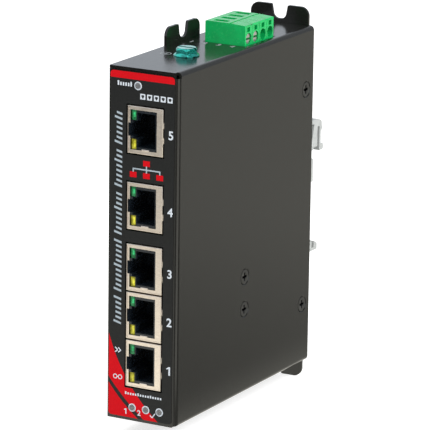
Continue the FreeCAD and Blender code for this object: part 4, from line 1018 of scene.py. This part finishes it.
class FinishInside(bpy.types.Operator):
    """Finishes the board and what stands on it"""

    bl_idname = "switch.finish_inside"
    bl_label = "Finish inside"

    def execute(self, context):
        paint("circuit_board", solder_resist())
        epoxy = moulded("chip_epoxy", (0.02, 0.02, 0.021), 0.45, 0.6)
        for node in ("switch_chip", "magnetics", "regulator"):
            paint(node, epoxy)
        can = plated("can_metal", (0.8, 0.8, 0.81), 0.2, 0.35)
        for node in ("crystal", "capacitors"):
            paint(node, can)
        paint("inductor", moulded("ferrite", (0.07, 0.07, 0.072), 0.5, 0.7))
        paint("heat_bracket", plated("bare_aluminium", (0.76, 0.77, 0.78), 0.3, 0.5, stretch=(1, 1, 6)))
        paint("indicator_lamps", moulded("lamp_resin", (0.8, 0.78, 0.7), 0.2, 0.35))
        guide = light_guide()
        for node in PIPES:
            paint(node, guide)
        return {"FINISHED"}


# ---- stage ----

class Studio:
    """Nodes that say how bright each part of the studio is to gloss and to the camera."""

    def __init__(self, tree, output, centre):
        self.tree = tree
        coordinates = self.add("ShaderNodeTexCoord")
        self.place = self.add("ShaderNodeVectorMath", operation="SUBTRACT")
        self.place.inputs[1].default_value = centre
        self.link(coordinates.outputs[output], self.place.inputs[0])
        flat = self.add("ShaderNodeVectorMath", operation="MULTIPLY")
        flat.inputs[1].default_value = (1, 1, 0)
        self.link(self.place.outputs["Vector"], flat.inputs[0])
        self.unit = self.add("ShaderNodeVectorMath", operation="NORMALIZE")
        self.link(flat.outputs["Vector"], self.unit.inputs[0])
        self.reach = self.add("ShaderNodeVectorMath", operation="LENGTH")
        self.link(flat.outputs["Vector"], self.reach.inputs[0])
        self.path = self.add("ShaderNodeLightPath")

    def add(self, kind, **values):
        """A node with some of its settings set."""
        node = self.tree.nodes.new(kind)
        for key, value in values.items():
            setattr(node, key, value)
        return node

    def link(self, source, target):
        """Joins two sockets."""
        self.tree.links.new(source, target)

    def ramp(self, value, start, end, low, high):
        """A smooth step between two values."""
        node = self.add("ShaderNodeMapRange", interpolation_type="SMOOTHSTEP")
        for key, number in (("From Min", start), ("From Max", end), ("To Min", low), ("To Max", high)):
            node.inputs[key].default_value = number
        self.link(value, node.inputs["Value"])
        return node.outputs["Result"]

    def combined(self, operation, first, second):
        """Two values joined by a math operation."""
        node = self.add("ShaderNodeMath", operation=operation)
        self.link(first, node.inputs[0])
        self.link(second, node.inputs[1])
        return node.outputs["Value"]

    def towards(self, heading, start, end, low, high):
        """A step by how nearly a point lies on a heading; start and end are cosines."""
        facing = self.add("ShaderNodeVectorMath", operation="DOT_PRODUCT")
        facing.inputs[1].default_value = (math.sin(heading), -math.cos(heading), 0)
        self.link(self.unit.outputs["Vector"], facing.inputs[0])
        return self.ramp(facing.outputs["Value"], start, end, low, high)

    def gloss(self, level):
        """How bright gloss sees this place: dark at the right front, but for one strip, and
        plain close to the middle, where all headings meet."""
        open_side = self.towards(DARK_SIDE, 0.6, 0.78, low=1.0, high=0.02)
        strip_light = self.towards(LIGHT_STRIP, 0.86, 0.93, low=0.0, high=1.5)
        sides = self.combined("MAXIMUM", self.combined("MULTIPLY", open_side, level), strip_light)
        far = self.ramp(self.reach.outputs["Value"], 0.03, 0.09, low=0.0, high=1.0)
        return self.blend(far, level, sides)

    def blend(self, factor, no, yes):
        """From one value to another by a factor; each is a socket or a number."""
        mix = self.add("ShaderNodeMix")
        self.link(factor, mix.inputs["Factor"])
        for socket, value in ((mix.inputs[2], no), (mix.inputs[3], yes)):
            if isinstance(value, bpy.types.NodeSocket):
                self.link(value, socket)
            else:
                socket.default_value = value
        return mix.outputs[0]

    def choose(self, ray, no, yes):
        """One value for a kind of ray and another for the rest."""
        return self.blend(self.path.outputs[ray], no, yes)

    def tint(self, colour):
        """White, but tinted where gloss sees it."""
        mix = self.add("ShaderNodeMix", data_type="RGBA")
        self.link(self.path.outputs["Is Glossy Ray"], mix.inputs["Factor"])
        mix.inputs[6].default_value = (1, 1, 1, 1)
        mix.inputs[7].default_value = (*colour, 1)
        return mix.outputs[2]


def studio_floor():
    """A pale floor that keeps a soft shadow and is seen white; to gloss it shows painted light and
    shade.
    """
    made = Surface("studio_floor", roughness=0.9, level=0.1)
    low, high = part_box("cover")
    studio = Studio(made.tree, "Object", (high.x, low.y, 0))
    split = studio.add("ShaderNodeSeparateXYZ")
    studio.link(studio.place.outputs["Vector"], split.inputs["Vector"])
    # painted light and shade seen by gloss, in place of the lit floor: bright close in front of the
    # case, and a painted shadow close beside its right side
    front = studio.ramp(split.outputs["Y"], -0.45, -0.03, low=0.48, high=1.4)
    painted_shadow_right = studio.ramp(split.outputs["Y"], 0.0, 0.33, low=0.28, high=0.6)
    to_the_right = studio.ramp(split.outputs["X"], -0.02, 0.03, low=0.0, high=1.0)
    but_far_left = studio.ramp(split.outputs["X"], -0.25, -0.19, low=0.0, high=1.0)
    level = studio.combined("MULTIPLY", studio.blend(to_the_right, front, painted_shadow_right), but_far_left)
    glow = studio.choose("Is Glossy Ray", 0.0, studio.gloss(level))
    made.link(studio.choose("Is Glossy Ray", 0.8, 0.0), made.shader.inputs["Base Color"])
    seen = studio.choose("Is Camera Ray", glow, FLOOR_GLOW)
    through = studio.choose("Is Transmission Ray", seen, FLOOR_GLOW)
    made.link(studio.tint((1.0, 0.98, 0.88)), made.shader.inputs["Emission Color"])
    made.link(through, made.shader.inputs["Emission Strength"])
    return made.material


def surroundings(strength):
    """A pale studio all round, white to the camera."""
    world = bpy.data.worlds.new("studio")
    world.use_nodes = True
    background = world.node_tree.nodes["Background"]
    studio = Studio(world.node_tree, "Generated", (0, 0, 0))
    back_right = studio.towards(BACK_RIGHT, 0.6, 0.9, low=1.0, high=0.5)
    glossy = studio.choose("Is Glossy Ray", strength, studio.gloss(back_right))
    seen = studio.choose("Is Camera Ray", glossy, 1.0)
    through = studio.choose("Is Transmission Ray", seen, 1.0)
    studio.link(studio.tint((0.86, 0.92, 1.0)), background.inputs["Color"])
    studio.link(through, background.inputs["Strength"])
    bpy.context.scene.world = world


def lamp(name, place, width, height, power):
    """A rectangular lamp that faces the switch, and that gloss doesn't see."""
    deselect()
    bpy.ops.object.light_add(type="AREA", location=place)
    made = named(name)
    made.data.shape = "RECTANGLE"
    made.data.size = width
    made.data.size_y = height
    made.data.energy = power
    middle = Vector((0, -0.05, 0))
    made.rotation_euler = (middle - Vector(place)).to_track_quat("-Z", "Y").to_euler()
    made.visible_glossy = False


def camera(lens):
    """The camera, in front, to the right and a little above."""
    deselect()
    bpy.ops.object.camera_add()
    made = named("view_camera")
    made.data.lens = lens
    made.data.sensor_width = 36
    made.data.clip_start = 0.05
    place = (0.58416, -1.10606, 0.31213)
    right = Vector((0.8726, 0.48826, 0.01342)).normalized()
    ahead = Vector((-0.47014, 0.84704, -0.24798)).normalized()
    turn = Matrix((right, right.cross(ahead), -ahead)).transposed()
    made.matrix_world = Matrix.Translation(place) @ turn.to_4x4()
    bpy.context.scene.camera = made


class SetStage(bpy.types.Operator):
    """Sets the floor, the lamps, the surroundings and the camera"""

    bl_idname = "switch.set_stage"
    bl_label = "Set stage"

    def execute(self, context):
        settings = context.scene.switch_stage
        deselect()
        bpy.ops.mesh.primitive_plane_add(size=6, location=(0, 0, CAD_BOX[0][2]))
        floor = named("studio_floor")
        settle(floor)
        floor.data.materials.append(studio_floor())
        surroundings(settings.sky)
        lamp("key_lamp", (-0.35, -0.9, 0.9), width=0.7, height=0.7, power=settings.key)
        lamp("side_lamp", (0.75, -0.25, 0.45), width=0.3, height=0.8, power=settings.side)
        camera(settings.lens)
        context.scene.view_settings.view_transform = "Standard"
        return {"FINISHED"}


# ---- panel and registration ----

OPERATORS = [FinishCase, PrintLabel, FinishJacks, FinishTerminal, FinishClip, FinishInside, SetStage]
SETTINGS = {
    "switch_print": PrintSettings,
    "switch_case": CaseSettings,
    "switch_jack": JackSettings,
    "switch_terminal": TerminalSettings,
    "switch_stage": StageSettings,
}


class SwitchPanel(bpy.types.Panel):
    """Lists the steps that finish the switch"""

    bl_idname = "VIEW3D_PT_rail_switch"
    bl_label = "Rail switch"
    bl_space_type = "VIEW_3D"
    bl_region_type = "UI"
    bl_category = "Rail switch"

    def draw(self, context):
        for operator in OPERATORS:
            self.layout.operator(operator.bl_idname)
        for group, kind in SETTINGS.items():
            box = self.layout.box()
            for key in kind.__annotations__:
                box.prop(getattr(context.scene, group), key)


def register():
    """Registers the settings, the operators and the panel."""
    for group, kind in SETTINGS.items():
        bpy.utils.register_class(kind)
        setattr(bpy.types.Scene, group, PointerProperty(type=kind))
    for kind in OPERATORS + [SwitchPanel]:
        bpy.utils.register_class(kind)


def unregister():
    """Takes them away again."""
    for kind in reversed(OPERATORS + [SwitchPanel]):
        bpy.utils.unregister_class(kind)
    for group, kind in reversed(SETTINGS.items()):
        delattr(bpy.types.Scene, group)
        bpy.utils.unregister_class(kind)


def main():
    """Runs every step."""
    register()
    bpy.ops.switch.finish_case()
    bpy.ops.switch.print_label()
    bpy.ops.switch.finish_jacks()
    bpy.ops.switch.finish_terminal()
    bpy.ops.switch.finish_clip()
    bpy.ops.switch.finish_inside()
    bpy.ops.switch.set_stage()


if __name__ == "__main__":
    main()
